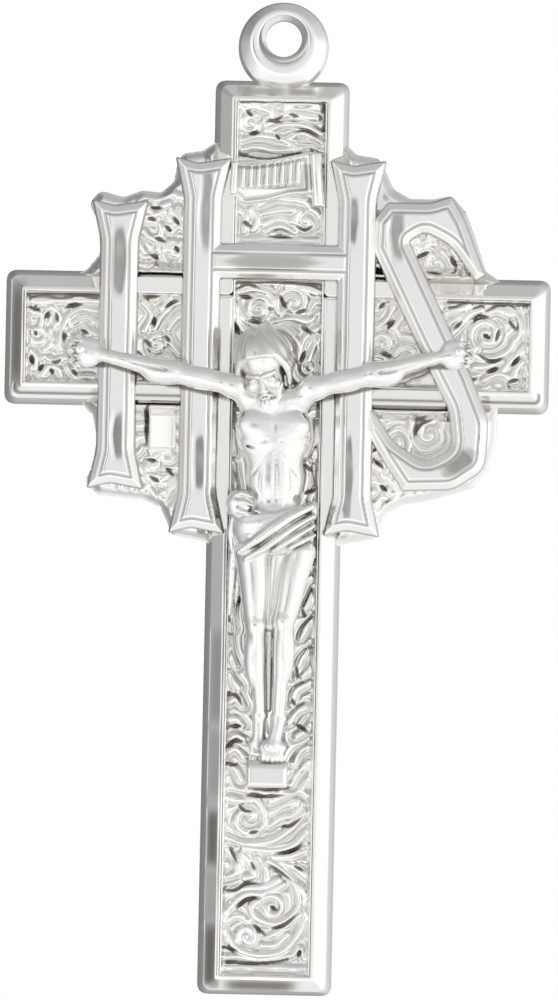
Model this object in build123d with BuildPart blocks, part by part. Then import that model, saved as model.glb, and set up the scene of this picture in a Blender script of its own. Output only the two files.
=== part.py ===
"""Crucifix pendant: a Latin cross with a bevelled border and inlaid scroll panels, a three-letter monogram
laid over it, a corpus with its footrest, an inscription scroll and a fixed suspension eye.

Millimetres. +Z runs up the shaft, +X to the viewer's right and the front faces -Y. The origin is the centre
of the hole in the suspension eye. Heights are measured forwards from the flat back face of the cross.
"""

import os
from math import atan, cos, degrees, radians, sin

from build123d import *

# Heights above the back face
BACK_Y = 0.85            # the back face stands this far behind the origin
EYE_THICK = 2 * BACK_Y
SHOULDER_H = 1.15        # top of the sloping outer flank of the cross
RIM_H = 1.75             # crest of the border
FIELD_H = 0.95           # floor of the sunk fields that the panels lie in
PANEL_H = 1.25           # face of the scroll panels
WEB_H = 0.95             # face of the corner webs
LETTER_H = 2.4           # flat of each letter
TITULUS_H = 2.1          # face of the inscription scroll

# Cross
HALF_WIDTH = 3.22        # shaft and arms are both twice this wide
ARM_TIP = 13.05
ARM_Z = -14.47           # centre line of the arms
CROSS_TOP = -1.97
CROSS_BOTTOM = -45.77
CORNER_R = 0.55
CORNER_R_LEAST = 0.12
FLANK = 0.36             # width of the sloping flank, seen from the front
BEVEL = 0.46             # width of the bevel inside it
BORDER = 1.08            # outline to field
PANEL_GAP = 0.02

# Suspension eye
HOLE_R = 0.86
EYE_R = 2.17
EYE_DROP = 0.42          # the eye's outer rim is centred this far below its hole
EYE_RIM_R = 0.5
TANG_WIDE, TANG_DEEP, TANG_THICK = 2.4, 1.0, 0.9
COUNTERSINK = 0.36
COUNTERSINK_FRONT, COUNTERSINK_BACK = 0.7, 0.35   # depths from the two faces

# Monogram
STROKE = 1.88
POST_X = 3.68            # centre of each post of the H
I_X = -7.6
I_TOP, I_BOTTOM = -7.95, -21.6
H_TOP, H_BOTTOM = -5.85, -23.65
CROSSBAR_TOP, CROSSBAR_BOTTOM = -9.85, -11.6
FLARE = 0.4              # how far a serif stands out past the stroke
FLARE_LONG = 1.7
SERIF_TIP = 0.1          # the serif's points stand this far past the end of the stroke
SERIF_HOLLOW = 0.12      # and its middle this far short of it
POST_RADII = [1.4, 0.12, 1.5, 0.12, 1.4]   # corner radii of one end of a post
LETTER_STEPS = [(0, 1.95), (0.14, 2.2), (0.3, LETTER_H)]   # inset of each layer's edge and height of its top

# Fasteners
PIN_R = 0.3
PIN_TOP_H = 1.7
SHANK_R = 0.16
NAIL_HEAD_R = 0.3
NAIL_HEAD_H = 0.16
NAIL_DOME_R = 0.095
HOLE_CLEARANCE = 0.02


def level(height):
    """Sketch plane facing the front, at a height above the back face: local x is +X and local y is +Z."""
    return Plane.XZ.offset(height - BACK_Y)


def depth(height):
    """World y of a height above the back face."""
    return BACK_Y - height


def cross_outline(inset):
    """Latin cross outline, moved inwards by inset."""
    half, tip = HALF_WIDTH - inset, ARM_TIP - inset
    top, bottom = CROSS_TOP - inset, CROSS_BOTTOM + inset
    under, over = ARM_Z - half, ARM_Z + half
    right = [(half, top), (half, over), (tip, over), (tip, under), (half, under), (half, bottom)]
    return right + [(-x, z) for x, z in reversed(right)]


def cross_face(inset):
    """Face of the cross with its eight outward corners rounded."""
    Polygon(*cross_outline(inset), align=None)
    tips = [v for v in vertices() if abs(v.Y - ARM_Z) < HALF_WIDTH + 0.1 and abs(v.X) > HALF_WIDTH + 1]
    ends = [v for v in vertices() if v.Y > CROSS_TOP - 2 or v.Y < CROSS_BOTTOM + 2]
    fillet(tips + ends, max(CORNER_R - inset / 2, CORNER_R_LEAST))


def post_end(end, outward):
    """Outline of one end of a post, from its left side round the serif; outward is 1 above and -1 below."""
    half, wide = STROKE / 2, STROKE / 2 + FLARE
    neck, tip, hollow = end - outward * FLARE_LONG, end + outward * SERIF_TIP, end - outward * SERIF_HOLLOW
    return [(-half, neck), (-wide, tip), (0, hollow), (wide, tip), (half, neck)]


def post_outline(x, top, bottom):
    """Letter stroke with a flared, slightly hollow serif at each end."""
    return [(x + dx, z) for dx, z in post_end(top, 1) + post_end(bottom, -1)[::-1]]


# Places of the fasteners, in the plane of the cross
MONOGRAM_PINS = (
    [(I_X, z) for z in (-9.6, ARM_Z + 1.4, -19.6)]
    + [(side * POST_X, z) for side in (-1, 1) for z in (-7.8, ARM_Z + 1.4, -21.0)]
    + [(0, (CROSSBAR_TOP + CROSSBAR_BOTTOM) / 2), (5.45, -9.1), (6.65, -13.0), (9.15, -18.6)]
)
TITULUS_PINS = [(-1.2, -6.75), (0.9, -6.4)]
HAND_NAILS = {"left": (-9.35, -15.05), "right": (8.62, -14.82)}
FOOT_NAIL = (-0.05, -33.75)
HAND_FRONT_H, FOOT_FRONT_H = 3.05, 2.78   # heights that the heads stand on
NAIL_FRONTS = [(HAND_NAILS["left"], HAND_FRONT_H), (HAND_NAILS["right"], HAND_FRONT_H),
               (FOOT_NAIL, FOOT_FRONT_H)]

# Clearance holes that every piece is drilled with
with BuildPart() as pin_holes:
    with BuildSketch(level(0)):
        with Locations(*MONOGRAM_PINS, *TITULUS_PINS):
            Circle(PIN_R + HOLE_CLEARANCE)
    extrude(amount=PIN_TOP_H + HOLE_CLEARANCE)
with BuildPart() as nail_holes:
    with BuildSketch(level(0)):
        with Locations(*[place for place, _ in NAIL_FRONTS]):
            Circle(SHANK_R + HOLE_CLEARANCE)
    extrude(amount=2 * LETTER_H)
HOLES = [pin_holes.part, nail_holes.part]

# Suspension eye: a pierced disc with rounded rims, standing on a tang let into the top of the cross
with BuildPart() as suspension_eye:
    with BuildSketch(level(0)):
        with Locations((0, -EYE_DROP)):
            Circle(EYE_R)
    extrude(amount=EYE_THICK)
    fillet(edges().filter_by(GeomType.CIRCLE), EYE_RIM_R)
    with BuildSketch(level(EYE_THICK / 2 - TANG_THICK / 2)):
        with Locations((0, CROSS_TOP)):
            Rectangle(TANG_WIDE, 2 * TANG_DEEP)
    extrude(amount=TANG_THICK)
    with BuildSketch(level(0)):
        Circle(HOLE_R)
    extrude(amount=EYE_THICK, mode=Mode.SUBTRACT)
    with Locations(level(EYE_THICK - COUNTERSINK_FRONT / 2)):
        Cone(HOLE_R, HOLE_R + COUNTERSINK, COUNTERSINK_FRONT, mode=Mode.SUBTRACT)
    with Locations(level(COUNTERSINK_BACK / 2)):
        Cone(HOLE_R + COUNTERSINK, HOLE_R, COUNTERSINK_BACK, mode=Mode.SUBTRACT)
suspension_eye.part.label = "suspension_eye"

# Cross: flank, bevelled border, sunk cruciform field, socket for the eye's tang
with BuildPart() as cross_body:
    with BuildSketch(level(0)):
        cross_face(0)
    with BuildSketch(level(SHOULDER_H)):
        cross_face(FLANK)
    with BuildSketch(level(RIM_H)):
        cross_face(FLANK + BEVEL)
    loft(ruled=True)
    with BuildSketch(level(FIELD_H)):
        Polygon(*cross_outline(BORDER), align=None)
    extrude(amount=RIM_H, mode=Mode.SUBTRACT)
    add(suspension_eye.part, mode=Mode.SUBTRACT)
    add(HOLES, mode=Mode.SUBTRACT)
cross_body.part.label = "cross_body"


# Scroll panels, laid in the sunk field
FIELD_HALF = HALF_WIDTH - BORDER - PANEL_GAP
FIELD_TIP = ARM_TIP - BORDER - PANEL_GAP
FIELD_TOP = CROSS_TOP - BORDER - PANEL_GAP
FIELD_BOTTOM = CROSS_BOTTOM + BORDER + PANEL_GAP
ARM_FIELD = (ARM_Z - FIELD_HALF, ARM_Z + FIELD_HALF)
ARM_INNER = FIELD_HALF + 2 * PANEL_GAP
PANELS = {
    "panel_top": (-FIELD_HALF, FIELD_HALF, CROSSBAR_TOP, FIELD_TOP),
    "panel_shaft": (-FIELD_HALF, FIELD_HALF, FIELD_BOTTOM, CROSSBAR_BOTTOM),
    "panel_left_arm": (-FIELD_TIP, -ARM_INNER, *ARM_FIELD),
    "panel_right_arm": (ARM_INNER, FIELD_TIP, *ARM_FIELD),
}


def make_panel(label, left, right, bottom, top):
    """Flat plate that fills its part of the sunk field."""
    with BuildPart() as panel:
        with BuildSketch(level(FIELD_H)):
            with Locations(((left + right) / 2, (bottom + top) / 2)):
                Rectangle(right - left, top - bottom)
        extrude(amount=PANEL_H - FIELD_H)
        add(HOLES, mode=Mode.SUBTRACT)
    panel.part.label = label
    return panel


panels = [make_panel(label, *box) for label, box in PANELS.items()]

# Corner webs, which carry the ends of the letters outside the cross. Each outline's last points lie inside
# the cross, whose solid is cut away from the web.
INSIDE = HALF_WIDTH - 0.7
WEBS = {
    "web_upper_left": [(-3, -4.95), (-3.75, -5.45), (-4.85, -5.6), (-5.15, -6.2), (-5.15, -7.1),
                       (-5.75, -7.5), (-6.65, -7.4), (-7.6, -7.7), (-9.2, -7.45), (-9.1, -8.3),
                       (-8.75, -9.4), (-8.75, -10.7), (-9.9, -11.5), (-9.9, ARM_Z), (-INSIDE, ARM_Z)],
    "web_lower_left": [(-9.8, ARM_Z), (-9.8, -17.4), (-8.8, -18.5), (-8.8, -20.4), (-9.25, -21.9), (-8, -22),
                       (-6.1, -22.1), (-5.25, -22.9), (-5.2, -23.95), (-3.75, -24), (-3, -24.7),
                       (-INSIDE, -24.7), (-INSIDE, ARM_Z)],
    "web_upper_right": [(3, -4.95), (3.75, -5.45), (4.75, -5.55), (5.2, -6.5), (5.75, -7.2), (7.1, -7.6),
                        (8.25, -7.2), (8.85, -8.2), (9.45, -9.9), (9.95, -11.1), (10.7, -11.5), (10.7, ARM_Z),
                        (INSIDE, ARM_Z)],
    "web_lower_right": [(10.8, ARM_Z), (10.8, -17.4), (10.55, -18), (10.6, -19.2), (10.2, -20.5),
                        (9.2, -21.5), (7.6, -21.85), (6, -22.15), (5.25, -22.9), (5.2, -23.95),
                        (3.75, -24), (3, -24.7), (INSIDE, -24.7), (INSIDE, ARM_Z)],
}
WEB_R = 0.3
WEB_EDGE = 0.25


def make_web(label, outline):
    """Plate with a sloping edge, fitted round the cross."""
    with BuildPart() as web:
        with BuildSketch(level(0)):
            with BuildLine():
                FilletPolyline(*outline, radius=WEB_R, close=True)
            make_face()
        extrude(amount=WEB_H, taper=degrees(atan(WEB_EDGE / WEB_H)))
        add(cross_body.part, mode=Mode.SUBTRACT)
        add(HOLES, mode=Mode.SUBTRACT)
    web.part.label = label
    return web


webs = [make_web(label, outline) for label, outline in WEBS.items()]
GROUND = [cross_body.part] + [piece.part for piece in panels + webs]


def post_face(x, top, bottom):
    with BuildLine() as stroke:
        FilletPolyline(*post_outline(x, top, bottom), radius=POST_RADII + POST_RADII[::-1], close=True)
    make_face(stroke.edges())


def i_face():
    post_face(I_X, I_TOP, I_BOTTOM)


def h_face():
    for side in (-1, 1):
        post_face(side * POST_X, H_TOP, H_BOTTOM)
    with Locations((0, (CROSSBAR_TOP + CROSSBAR_BOTTOM) / 2)):
        Rectangle(2 * POST_X, CROSSBAR_TOP - CROSSBAR_BOTTOM)


# Angular S, each corner with its radius: the hooked head, then the bowl and the tail that runs back to the H,
# then the inner edge of the bowl and the diagonal.
S_CORNERS = [((4.45, -8.6), 0.3), ((5.1, -7.75), 0.3), ((7.1, -7.75), 1.5), ((8.15, -7.4), 0.12),
             ((8.8, -8.5), 1.2), ((9.85, -11.15), 0.12), ((9.35, -11.45), 0.12), ((8.1, -9.75), 1.8),
             ((6.9, -9.15), 0.6), ((6.2, -9.6), 0.15), ((9.25, -15.9), 4), ((10.15, -18.1), 2.2),
             ((10.0, -20.4), 1.2), ((8.5, -21.4), 1.5), ((6.1, -21.5), 0.12), ((5.2, -20.2), 2),
             ((4.3, -18.75), 0.1), ((4.3, -17.15), 0.1), ((5.6, -19.1), 1.6), ((7.1, -20.1), 0.9),
             ((8.4, -19.4), 0.8), ((8.2, -17.6), 1.8), ((7.3, -15.9), 2), ((4.4, -10.0), 0.5)]


def s_face():
    with BuildLine() as stroke:
        FilletPolyline(*[corner for corner, _ in S_CORNERS], radius=[radius for _, radius in S_CORNERS],
                       close=True)
    make_face(stroke.edges())


def make_letter(label, outline_maker, *notched_by):
    """A letter in three layers, each inset from the one below, notched to sit over what it crosses."""
    with BuildPart() as letter:
        floor = WEB_H
        for inset, top in LETTER_STEPS:
            with BuildSketch(level(floor)):
                outline_maker()
                if inset:
                    offset(amount=-inset, kind=Kind.INTERSECTION, mode=Mode.REPLACE)
            extrude(amount=top - floor)
            floor = top
        add(GROUND, mode=Mode.SUBTRACT)
        add([other.part for other in notched_by], mode=Mode.SUBTRACT)
        add(HOLES, mode=Mode.SUBTRACT)
    letter.part.label = label
    return letter


monogram_i = make_letter("monogram_i", i_face)
monogram_h = make_letter("monogram_h", h_face)
monogram_s = make_letter("monogram_s", s_face, monogram_h)

# Inscription scroll: a wavy leaf between two rolls
SCROLL_LEAF = [(-2.35, -6.05), (0, -5.8), (1.55, -5.5), (1.55, -7.5), (0, -7.75), (-1.75, -7.95),
               (-2.5, -7.3)]
SCROLL_CORNER_R = 0.2
SCROLL_ROLLS = [(1.62, -5.45, -8.05, 0.3), (-2.1, -6.0, -7.55, 0.2)]   # x, top, bottom, radius
with BuildPart() as titulus_scroll:
    with BuildSketch(level(PANEL_H)):
        with BuildLine():
            FilletPolyline(*SCROLL_LEAF, radius=SCROLL_CORNER_R, close=True)
        make_face()
    extrude(amount=TITULUS_H - PANEL_H)
    for x, top, bottom, radius in SCROLL_ROLLS:
        with Locations((x, depth(TITULUS_H - radius / 2), (top + bottom) / 2)):
            Cylinder(radius, top - bottom)
    add([cross_body.part, monogram_h.part, *HOLES], mode=Mode.SUBTRACT)
titulus_scroll.part.label = "titulus_scroll"

# Corpus. Body and leg sections lie flat: z, x, half width, height of the centre, half depth.
TORSO = [(-16.85, -0.15, 1.9, 2.4, 0.75), (-18.3, -0.1, 1.95, 2.4, 1.1), (-19.6, 0, 1.75, 2.4, 1.1),
         (-21.2, 0.05, 1.4, 2.3, 0.85), (-22.4, -0.1, 1.7, 2.3, 1.0), (-23.8, -0.05, 1.95, 2.3, 1.1),
         (-24.9, -0.05, 1.9, 2.3, 1.05)]
LEFT_LEG = [(-24.5, -1.05, 0.95, 2.35, 0.9), (-26.5, -1.0, 0.8, 2.5, 0.85), (-28.0, -0.8, 0.62, 2.6, 0.7),
            (-29.5, -0.75, 0.6, 2.4, 0.65), (-31.5, -0.5, 0.42, 2.1, 0.5), (-34.0, -0.45, 0.5, 1.8, 0.5)]
RIGHT_LEG = [(-24.5, 0.95, 0.95, 2.35, 0.9), (-26.3, 0.85, 0.75, 2.6, 0.85), (-27.9, 0.6, 0.6, 2.8, 0.7),
             (-29.5, 0.5, 0.55, 2.55, 0.65), (-31.5, 0.4, 0.4, 2.3, 0.5), (-32.8, 0.25, 0.45, 2.3, 0.5),
             (-34.4, 0, 0.85, 2.3, 0.5)]
# Arm sections stand upright: x, z, half height. They share the height of their centre and their half depth.
LEFT_ARM = [(-1.2, -16.95, 0.75), (-2.5, -16.57, 0.53), (-4, -16.29, 0.46), (-5.4, -16.1, 0.7),
            (-6.4, -15.8, 0.53), (-7.6, -15.45, 0.43), (-8.5, -15.3, 0.42), (-9.3, -15.15, 0.62),
            (-9.95, -15.2, 0.35)]
RIGHT_ARM = [(1.2, -16.95, 0.7), (2.3, -16.5, 0.5), (3.6, -16.15, 0.42), (4.9, -15.85, 0.62),
             (6, -15.4, 0.46), (7, -15.15, 0.42), (7.9, -15, 0.5), (8.6, -14.85, 0.58), (9.2, -14.8, 0.3)]
ARM_H, ARM_HALF_DEPTH = 2.55, 0.5
HEAD_X, HEAD_Z, HEAD_H = -0.52, -15.8, 3.0
HEAD_WIDE, HEAD_LONG = 1.2, 1.7          # half width and half length
HEAD_LEAN = radians(15)
SHOULDER_X = 2.3                         # outside this the corpus lies on the letters


def body_sections(stations):
    """Level ellipses down the body or a leg."""
    for z, x, half_width, height, half_depth in stations:
        with BuildSketch(Plane((x, depth(height), z), x_dir=(1, 0, 0), z_dir=(0, 0, 1))) as section:
            Ellipse(half_width, half_depth)
        yield section.sketch


def arm_sections(stations):
    """Upright ellipses along an arm."""
    for x, z, half_height in stations:
        with BuildSketch(Plane((x, depth(ARM_H), z), x_dir=(0, 1, 0), z_dir=(1, 0, 0))) as section:
            Ellipse(ARM_HALF_DEPTH, half_height)
        yield section.sketch


head_across = (cos(HEAD_LEAN), 0, sin(HEAD_LEAN))
head_plane = Plane((HEAD_X, depth(HEAD_H), HEAD_Z), x_dir=head_across, z_dir=(0, -1, 0))
with BuildPart() as corpus:
    for stations in (TORSO, LEFT_LEG, RIGHT_LEG):
        loft(list(body_sections(stations)))
    for stations in (LEFT_ARM[::-1], RIGHT_ARM):
        loft(list(arm_sections(stations)))
    with BuildSketch(head_plane):
        Ellipse(HEAD_WIDE, HEAD_LONG)
        with Locations((-HEAD_WIDE, 0)):
            Rectangle(2 * HEAD_WIDE, 2 * HEAD_LONG, mode=Mode.SUBTRACT)
    revolve(axis=Axis(head_plane.origin, head_plane.y_dir))
    with BuildSketch(level(0)):
        with Locations((0, ARM_Z)):
            Rectangle(4 * ARM_TIP, 2 * HALF_WIDTH)
            Rectangle(2 * SHOULDER_X, 2 * HALF_WIDTH, mode=Mode.SUBTRACT)
    extrude(amount=LETTER_H, mode=Mode.SUBTRACT)
    with BuildSketch(level(0)):
        with Locations((0, (CROSS_TOP + CROSS_BOTTOM) / 2)):
            Rectangle(2 * SHOULDER_X, CROSS_TOP - CROSS_BOTTOM)
    extrude(amount=PANEL_H, mode=Mode.SUBTRACT)
    for place, front in NAIL_FRONTS:
        with BuildSketch(level(front)):
            with Locations(place):
                Circle(NAIL_HEAD_R + HOLE_CLEARANCE)
        extrude(amount=LETTER_H, mode=Mode.SUBTRACT)
    add(HOLES, mode=Mode.SUBTRACT)
corpus.part.label = "corpus"

# Footrest
FOOTREST = (-1.07, 0.9, -35.72, -34.45)   # left, right, bottom, top
FOOTREST_H = 2.4
FOOTREST_CHAMFER = 0.15
with BuildPart() as footrest:
    left, right, bottom, top = FOOTREST
    with BuildSketch(level(PANEL_H)):
        with Locations(((left + right) / 2, (bottom + top) / 2)):
            Rectangle(right - left, top - bottom)
    extrude(amount=FOOTREST_H - PANEL_H)
    chamfer(faces().sort_by(Axis.Y)[0].edges(), FOOTREST_CHAMFER)
    add(corpus.part, mode=Mode.SUBTRACT)
footrest.part.label = "footrest"


def make_nail(label, place, front):
    """Nail with a domed head, through the corpus and down to the back of the cross."""
    with BuildPart() as nail:
        with BuildSketch(level(0)):
            with Locations(place):
                Circle(SHANK_R)
        extrude(amount=front)
        with BuildSketch(level(front)):
            with Locations(place):
                Circle(NAIL_HEAD_R)
        extrude(amount=NAIL_HEAD_H)
        fillet(edges().sort_by(Axis.Y)[0], NAIL_DOME_R)
    nail.part.label = label
    return nail


NAILS = ("nail_left_hand", "nail_right_hand", "nail_feet")
nails = [make_nail(label, *nail) for label, nail in zip(NAILS, NAIL_FRONTS)]


def make_pins(label, places):
    """Plain round pins, flush with the back of the cross and blind in the piece that they hold."""
    with BuildPart() as pins:
        with BuildSketch(level(0)):
            with Locations(*places):
                Circle(PIN_R)
        extrude(amount=PIN_TOP_H)
    pins.part.label = label
    return pins


pins = [make_pins("monogram_pins", MONOGRAM_PINS), make_pins("titulus_pins", TITULUS_PINS)]

os.makedirs("parts", exist_ok=True)
letters = [monogram_i, monogram_h, monogram_s]
pieces = [suspension_eye, cross_body, *panels, *webs, *letters, titulus_scroll, corpus, footrest, *nails, *pins]
for piece in pieces:
    export_step(piece.part, f"parts/{piece.part.label}.step")
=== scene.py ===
"""Looks of the crucifix pendant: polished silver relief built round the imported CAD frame.

Design work is in millimetres, in the plane of the cross (x, z), with heights measured forwards from the
flat back face. A mesh point is at (x, BACK - height, z). Distances inside an outline are positive.
"""

from math import atan2, cos, exp, hypot, pi, radians, sin

import bmesh
import bpy
import numpy as np
from mathutils import Matrix, Vector


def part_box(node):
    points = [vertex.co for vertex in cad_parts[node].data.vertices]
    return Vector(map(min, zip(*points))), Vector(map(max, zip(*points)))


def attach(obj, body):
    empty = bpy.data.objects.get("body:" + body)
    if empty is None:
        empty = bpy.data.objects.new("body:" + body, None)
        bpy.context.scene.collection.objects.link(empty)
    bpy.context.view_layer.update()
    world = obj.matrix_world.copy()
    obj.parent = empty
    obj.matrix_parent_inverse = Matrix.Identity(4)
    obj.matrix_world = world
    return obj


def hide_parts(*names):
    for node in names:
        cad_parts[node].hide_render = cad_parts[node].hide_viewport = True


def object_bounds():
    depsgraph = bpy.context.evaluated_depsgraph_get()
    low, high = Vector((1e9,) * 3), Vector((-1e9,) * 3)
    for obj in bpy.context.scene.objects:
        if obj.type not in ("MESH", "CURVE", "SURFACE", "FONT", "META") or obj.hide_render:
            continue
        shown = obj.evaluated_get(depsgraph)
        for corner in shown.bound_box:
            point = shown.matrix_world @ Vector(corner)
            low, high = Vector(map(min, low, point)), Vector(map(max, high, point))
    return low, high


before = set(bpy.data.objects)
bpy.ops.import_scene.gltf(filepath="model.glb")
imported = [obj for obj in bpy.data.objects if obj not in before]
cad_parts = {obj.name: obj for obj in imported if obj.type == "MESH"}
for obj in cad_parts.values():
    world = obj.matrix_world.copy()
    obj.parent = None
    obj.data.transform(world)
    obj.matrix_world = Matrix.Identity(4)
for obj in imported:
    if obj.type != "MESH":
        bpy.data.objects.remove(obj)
cad_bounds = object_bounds()

MM = 0.001


def box_mm(node):
    """Lowest and highest corner of a CAD node, in millimetres."""
    low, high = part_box(node)
    return low / MM, high / MM


cross_low, cross_high = box_mm("cross_body")
BACK = cross_high.y                       # y of the back face
ARM_TIP = cross_high.x
CROSS_TOP, CROSS_BOTTOM = cross_high.z, cross_low.z
RIM_H = BACK - cross_low.y
left_panel_low, left_panel_high = box_mm("panel_left_arm")
shaft_low, shaft_high = box_mm("panel_shaft")
ARM_Z = (left_panel_low.z + left_panel_high.z) / 2
BORDER = ARM_TIP + left_panel_low.x       # outline to the field
HALF_WIDTH = shaft_high.x + BORDER
PANEL_H = BACK - shaft_low.y
FIELD_H = BACK - shaft_high.y
LETTER_H = BACK - box_mm("monogram_h")[0].y
WEB_H = BACK - box_mm("web_upper_left")[0].y

# --------------------------------------------------------------------------- meshes

GRID_STEP = 0.05                          # spacing of the grid under the relief plates and the figure

def as_piece(name, points, faces, node, slot, material, painted_shade=None):
    """Mesh piece from points (x, z, height), which rides on the body and replaces a CAD node."""
    points = np.asarray(points, float)
    co = np.column_stack([points[:, 0], BACK - points[:, 2], points[:, 1]]) * MM
    mesh = bpy.data.meshes.new(name)
    mesh.from_pydata(co.tolist(), [], faces)
    # per-point painted shade, which the silver material turns into darker, rougher metal
    if painted_shade is not None:
        attribute = mesh.attributes.new("painted_shade", "FLOAT", "POINT")
        attribute.data.foreach_set("value", np.asarray(painted_shade, np.float32))
    mesh.polygons.foreach_set("use_smooth", [True] * len(mesh.polygons))
    mesh.validate()
    mesh.update()
    mesh.materials.append(material)
    piece = bpy.data.objects.new(name, mesh)
    bpy.context.scene.collection.objects.link(piece)
    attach(piece, "root")
    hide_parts(node)
    return piece


def rounded(corners, closed=True, steps=6):
    """Polyline through corners (x, z, radius) with each corner rounded by a short curve."""
    corners = [tuple(map(float, c)) for c in corners]
    count = len(corners)
    points = []
    for i, (x, z, radius) in enumerate(corners):
        if not closed and i in (0, count - 1):
            points.append((x, z))
            continue
        here = np.array([x, z])
        before = np.array(corners[i - 1][:2]) - here
        after = np.array(corners[(i + 1) % count][:2]) - here
        length_before, length_after = np.hypot(*before), np.hypot(*after)
        before, after = before / length_before, after / length_after
        half_angle = np.arccos(np.clip(before @ after, -1, 1)) / 2
        cut = min(radius / max(np.tan(half_angle), 1e-3), 0.48 * length_before, 0.48 * length_after)
        for t in np.linspace(0, 1, steps):
            start, stop = here + before * cut, here + after * cut
            points.append(tuple((1 - t) ** 2 * start + 2 * t * (1 - t) * here + t * t * stop))
    return np.array(points)


def inside_distance(x, z, loop):
    """Distance to a closed outline, positive inside it."""
    nearest = np.full(x.shape, 1e9)
    inside = np.zeros(x.shape, bool)
    for (x0, z0), (x1, z1) in zip(loop, np.roll(loop, -1, axis=0)):
        dx, dz = x1 - x0, z1 - z0
        length = dx * dx + dz * dz
        if length < 1e-12:
            continue
        t = np.clip(((x - x0) * dx + (z - z0) * dz) / length, 0, 1)
        nearest = np.minimum(nearest, (x - x0 - t * dx) ** 2 + (z - z0 - t * dz) ** 2)
        if dz:
            crosses = (z0 > z) != (z1 > z)
            inside ^= crosses & (x < x0 + (z - z0) * dx / dz)
    return np.where(inside, 1, -1) * np.sqrt(nearest)


def close_up(mesh, flat_back=False):
    """Turns the faces outwards, and with flat_back first fills the open edge at the back with flat faces."""
    work = bmesh.new()
    work.from_mesh(mesh)
    if flat_back:
        open_edges = [edge for edge in work.edges if edge.is_boundary]
        for face in bmesh.ops.triangle_fill(work, edges=open_edges, normal=(0, 1, 0))["geom"]:
            face.smooth = False
    bmesh.ops.recalc_face_normals(work, faces=work.faces)
    work.to_mesh(mesh)
    work.free()


def relief(name, loops, height, floor, node, slot, material):
    """Closed plate over the union of some outlines: a modelled front, upright walls and a flat back at floor.

    height takes x, z and the distance inside the outline, and gives the front's height and its painted shade
    value.
    """
    step = GRID_STEP

    def distance(x, z):
        return np.max([inside_distance(x, z, loop) for loop in loops], axis=0)

    every = np.concatenate(loops)
    low, high = every.min(0) - 2 * step, every.max(0) + 2 * step
    x, z = np.meshgrid(np.arange(low[0], high[0], step), np.arange(low[1], high[1], step), indexing="ij")
    inside = distance(x, z)
    near = np.abs(inside) <= step / 2
    tiny = step / 10
    slope_x = distance(x[near] + tiny, z[near]) - distance(x[near] - tiny, z[near])
    slope_z = distance(x[near], z[near] + tiny) - distance(x[near], z[near] - tiny)
    size = np.maximum(np.hypot(slope_x, slope_z), 1e-9)
    x[near] -= inside[near] * slope_x / size
    z[near] -= inside[near] * slope_z / size
    kept = inside > -step / 2
    inside[near] = 0
    front, painted_front_shade = height(x[kept], z[kept], np.maximum(inside[kept], 0))
    number = np.full(x.shape, -1)
    number[kept] = np.arange(kept.sum())
    a, b, c, d = number[:-1, :-1], number[1:, :-1], number[1:, 1:], number[:-1, 1:]
    corners = np.stack([a, b, c, d], -1).reshape(-1, 4)
    kept_corners = (corners >= 0).sum(1)
    faces = corners[kept_corners == 4].tolist()
    faces += [[n for n in cell if n >= 0] for cell in corners[kept_corners == 3].tolist()]
    directed = {(face[i], face[(i + 1) % len(face)]) for face in faces for i in range(len(face))}
    rim = [(p, q) for p, q in directed if (q, p) not in directed]
    points = np.column_stack([x[kept], z[kept], front])
    rim_points = sorted({p for edge in rim for p in edge})
    order = {p: i for i, p in enumerate(rim_points)}
    count, rows = len(points), len(rim_points)
    shoulder = points[rim_points].copy()
    shoulder[:, 2] = np.maximum(shoulder[:, 2] - 0.08, (shoulder[:, 2] + floor) / 2)
    foot = points[rim_points].copy()
    foot[:, 2] = floor
    for p, q in sorted(rim):
        p1, q1 = count + order[p], count + order[q]
        faces.append([q, p, p1, q1])
        faces.append([q1, p1, p1 + rows, q1 + rows])
    painted_shade = np.concatenate([painted_front_shade, np.zeros(2 * rows)])
    piece = as_piece(name, np.concatenate([points, shoulder, foot]), faces, node, slot, material, painted_shade)
    close_up(piece.data, flat_back=True)


def sweep(name, rings, node, slot, material, painted_shade=None):
    """Closed solid through rings of equal numbers of points (x, z, height); the first ring is at the back."""
    count = len(rings[0])
    points = np.concatenate(rings)
    faces = []
    for r in range(len(rings) - 1):
        for i in range(count):
            j = (i + 1) % count
            faces.append([r * count + i, r * count + j, (r + 1) * count + j, (r + 1) * count + i])
    faces.append(list(range(count))[::-1])
    faces.append([(len(rings) - 1) * count + i for i in range(count)])
    if painted_shade is None:
        painted_shade = np.zeros(len(points))
    close_up(as_piece(name, points, faces, node, slot, material, painted_shade).data)


def smooth_step(value, low, high):
    """0 below low, 1 above high, and a smooth rise between them."""
    t = np.clip((value - low) / (high - low), 0, 1)
    return t * t * (3 - 2 * t)


def wobble(x, z, size=1.0):
    """Slow unevenness of hand polishing, in millimetres."""
    waves = (np.sin(1.9 * x + 0.7 * z) * np.sin(0.55 * z - 0.4 * x + 1.0)
             + 0.6 * np.sin(1.1 * z + 0.9 * x + 2.0) * np.sin(2.7 * x - 0.3 * z))
    return 0.010 * size * waves


# --------------------------------------------------------------------------- materials


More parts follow.
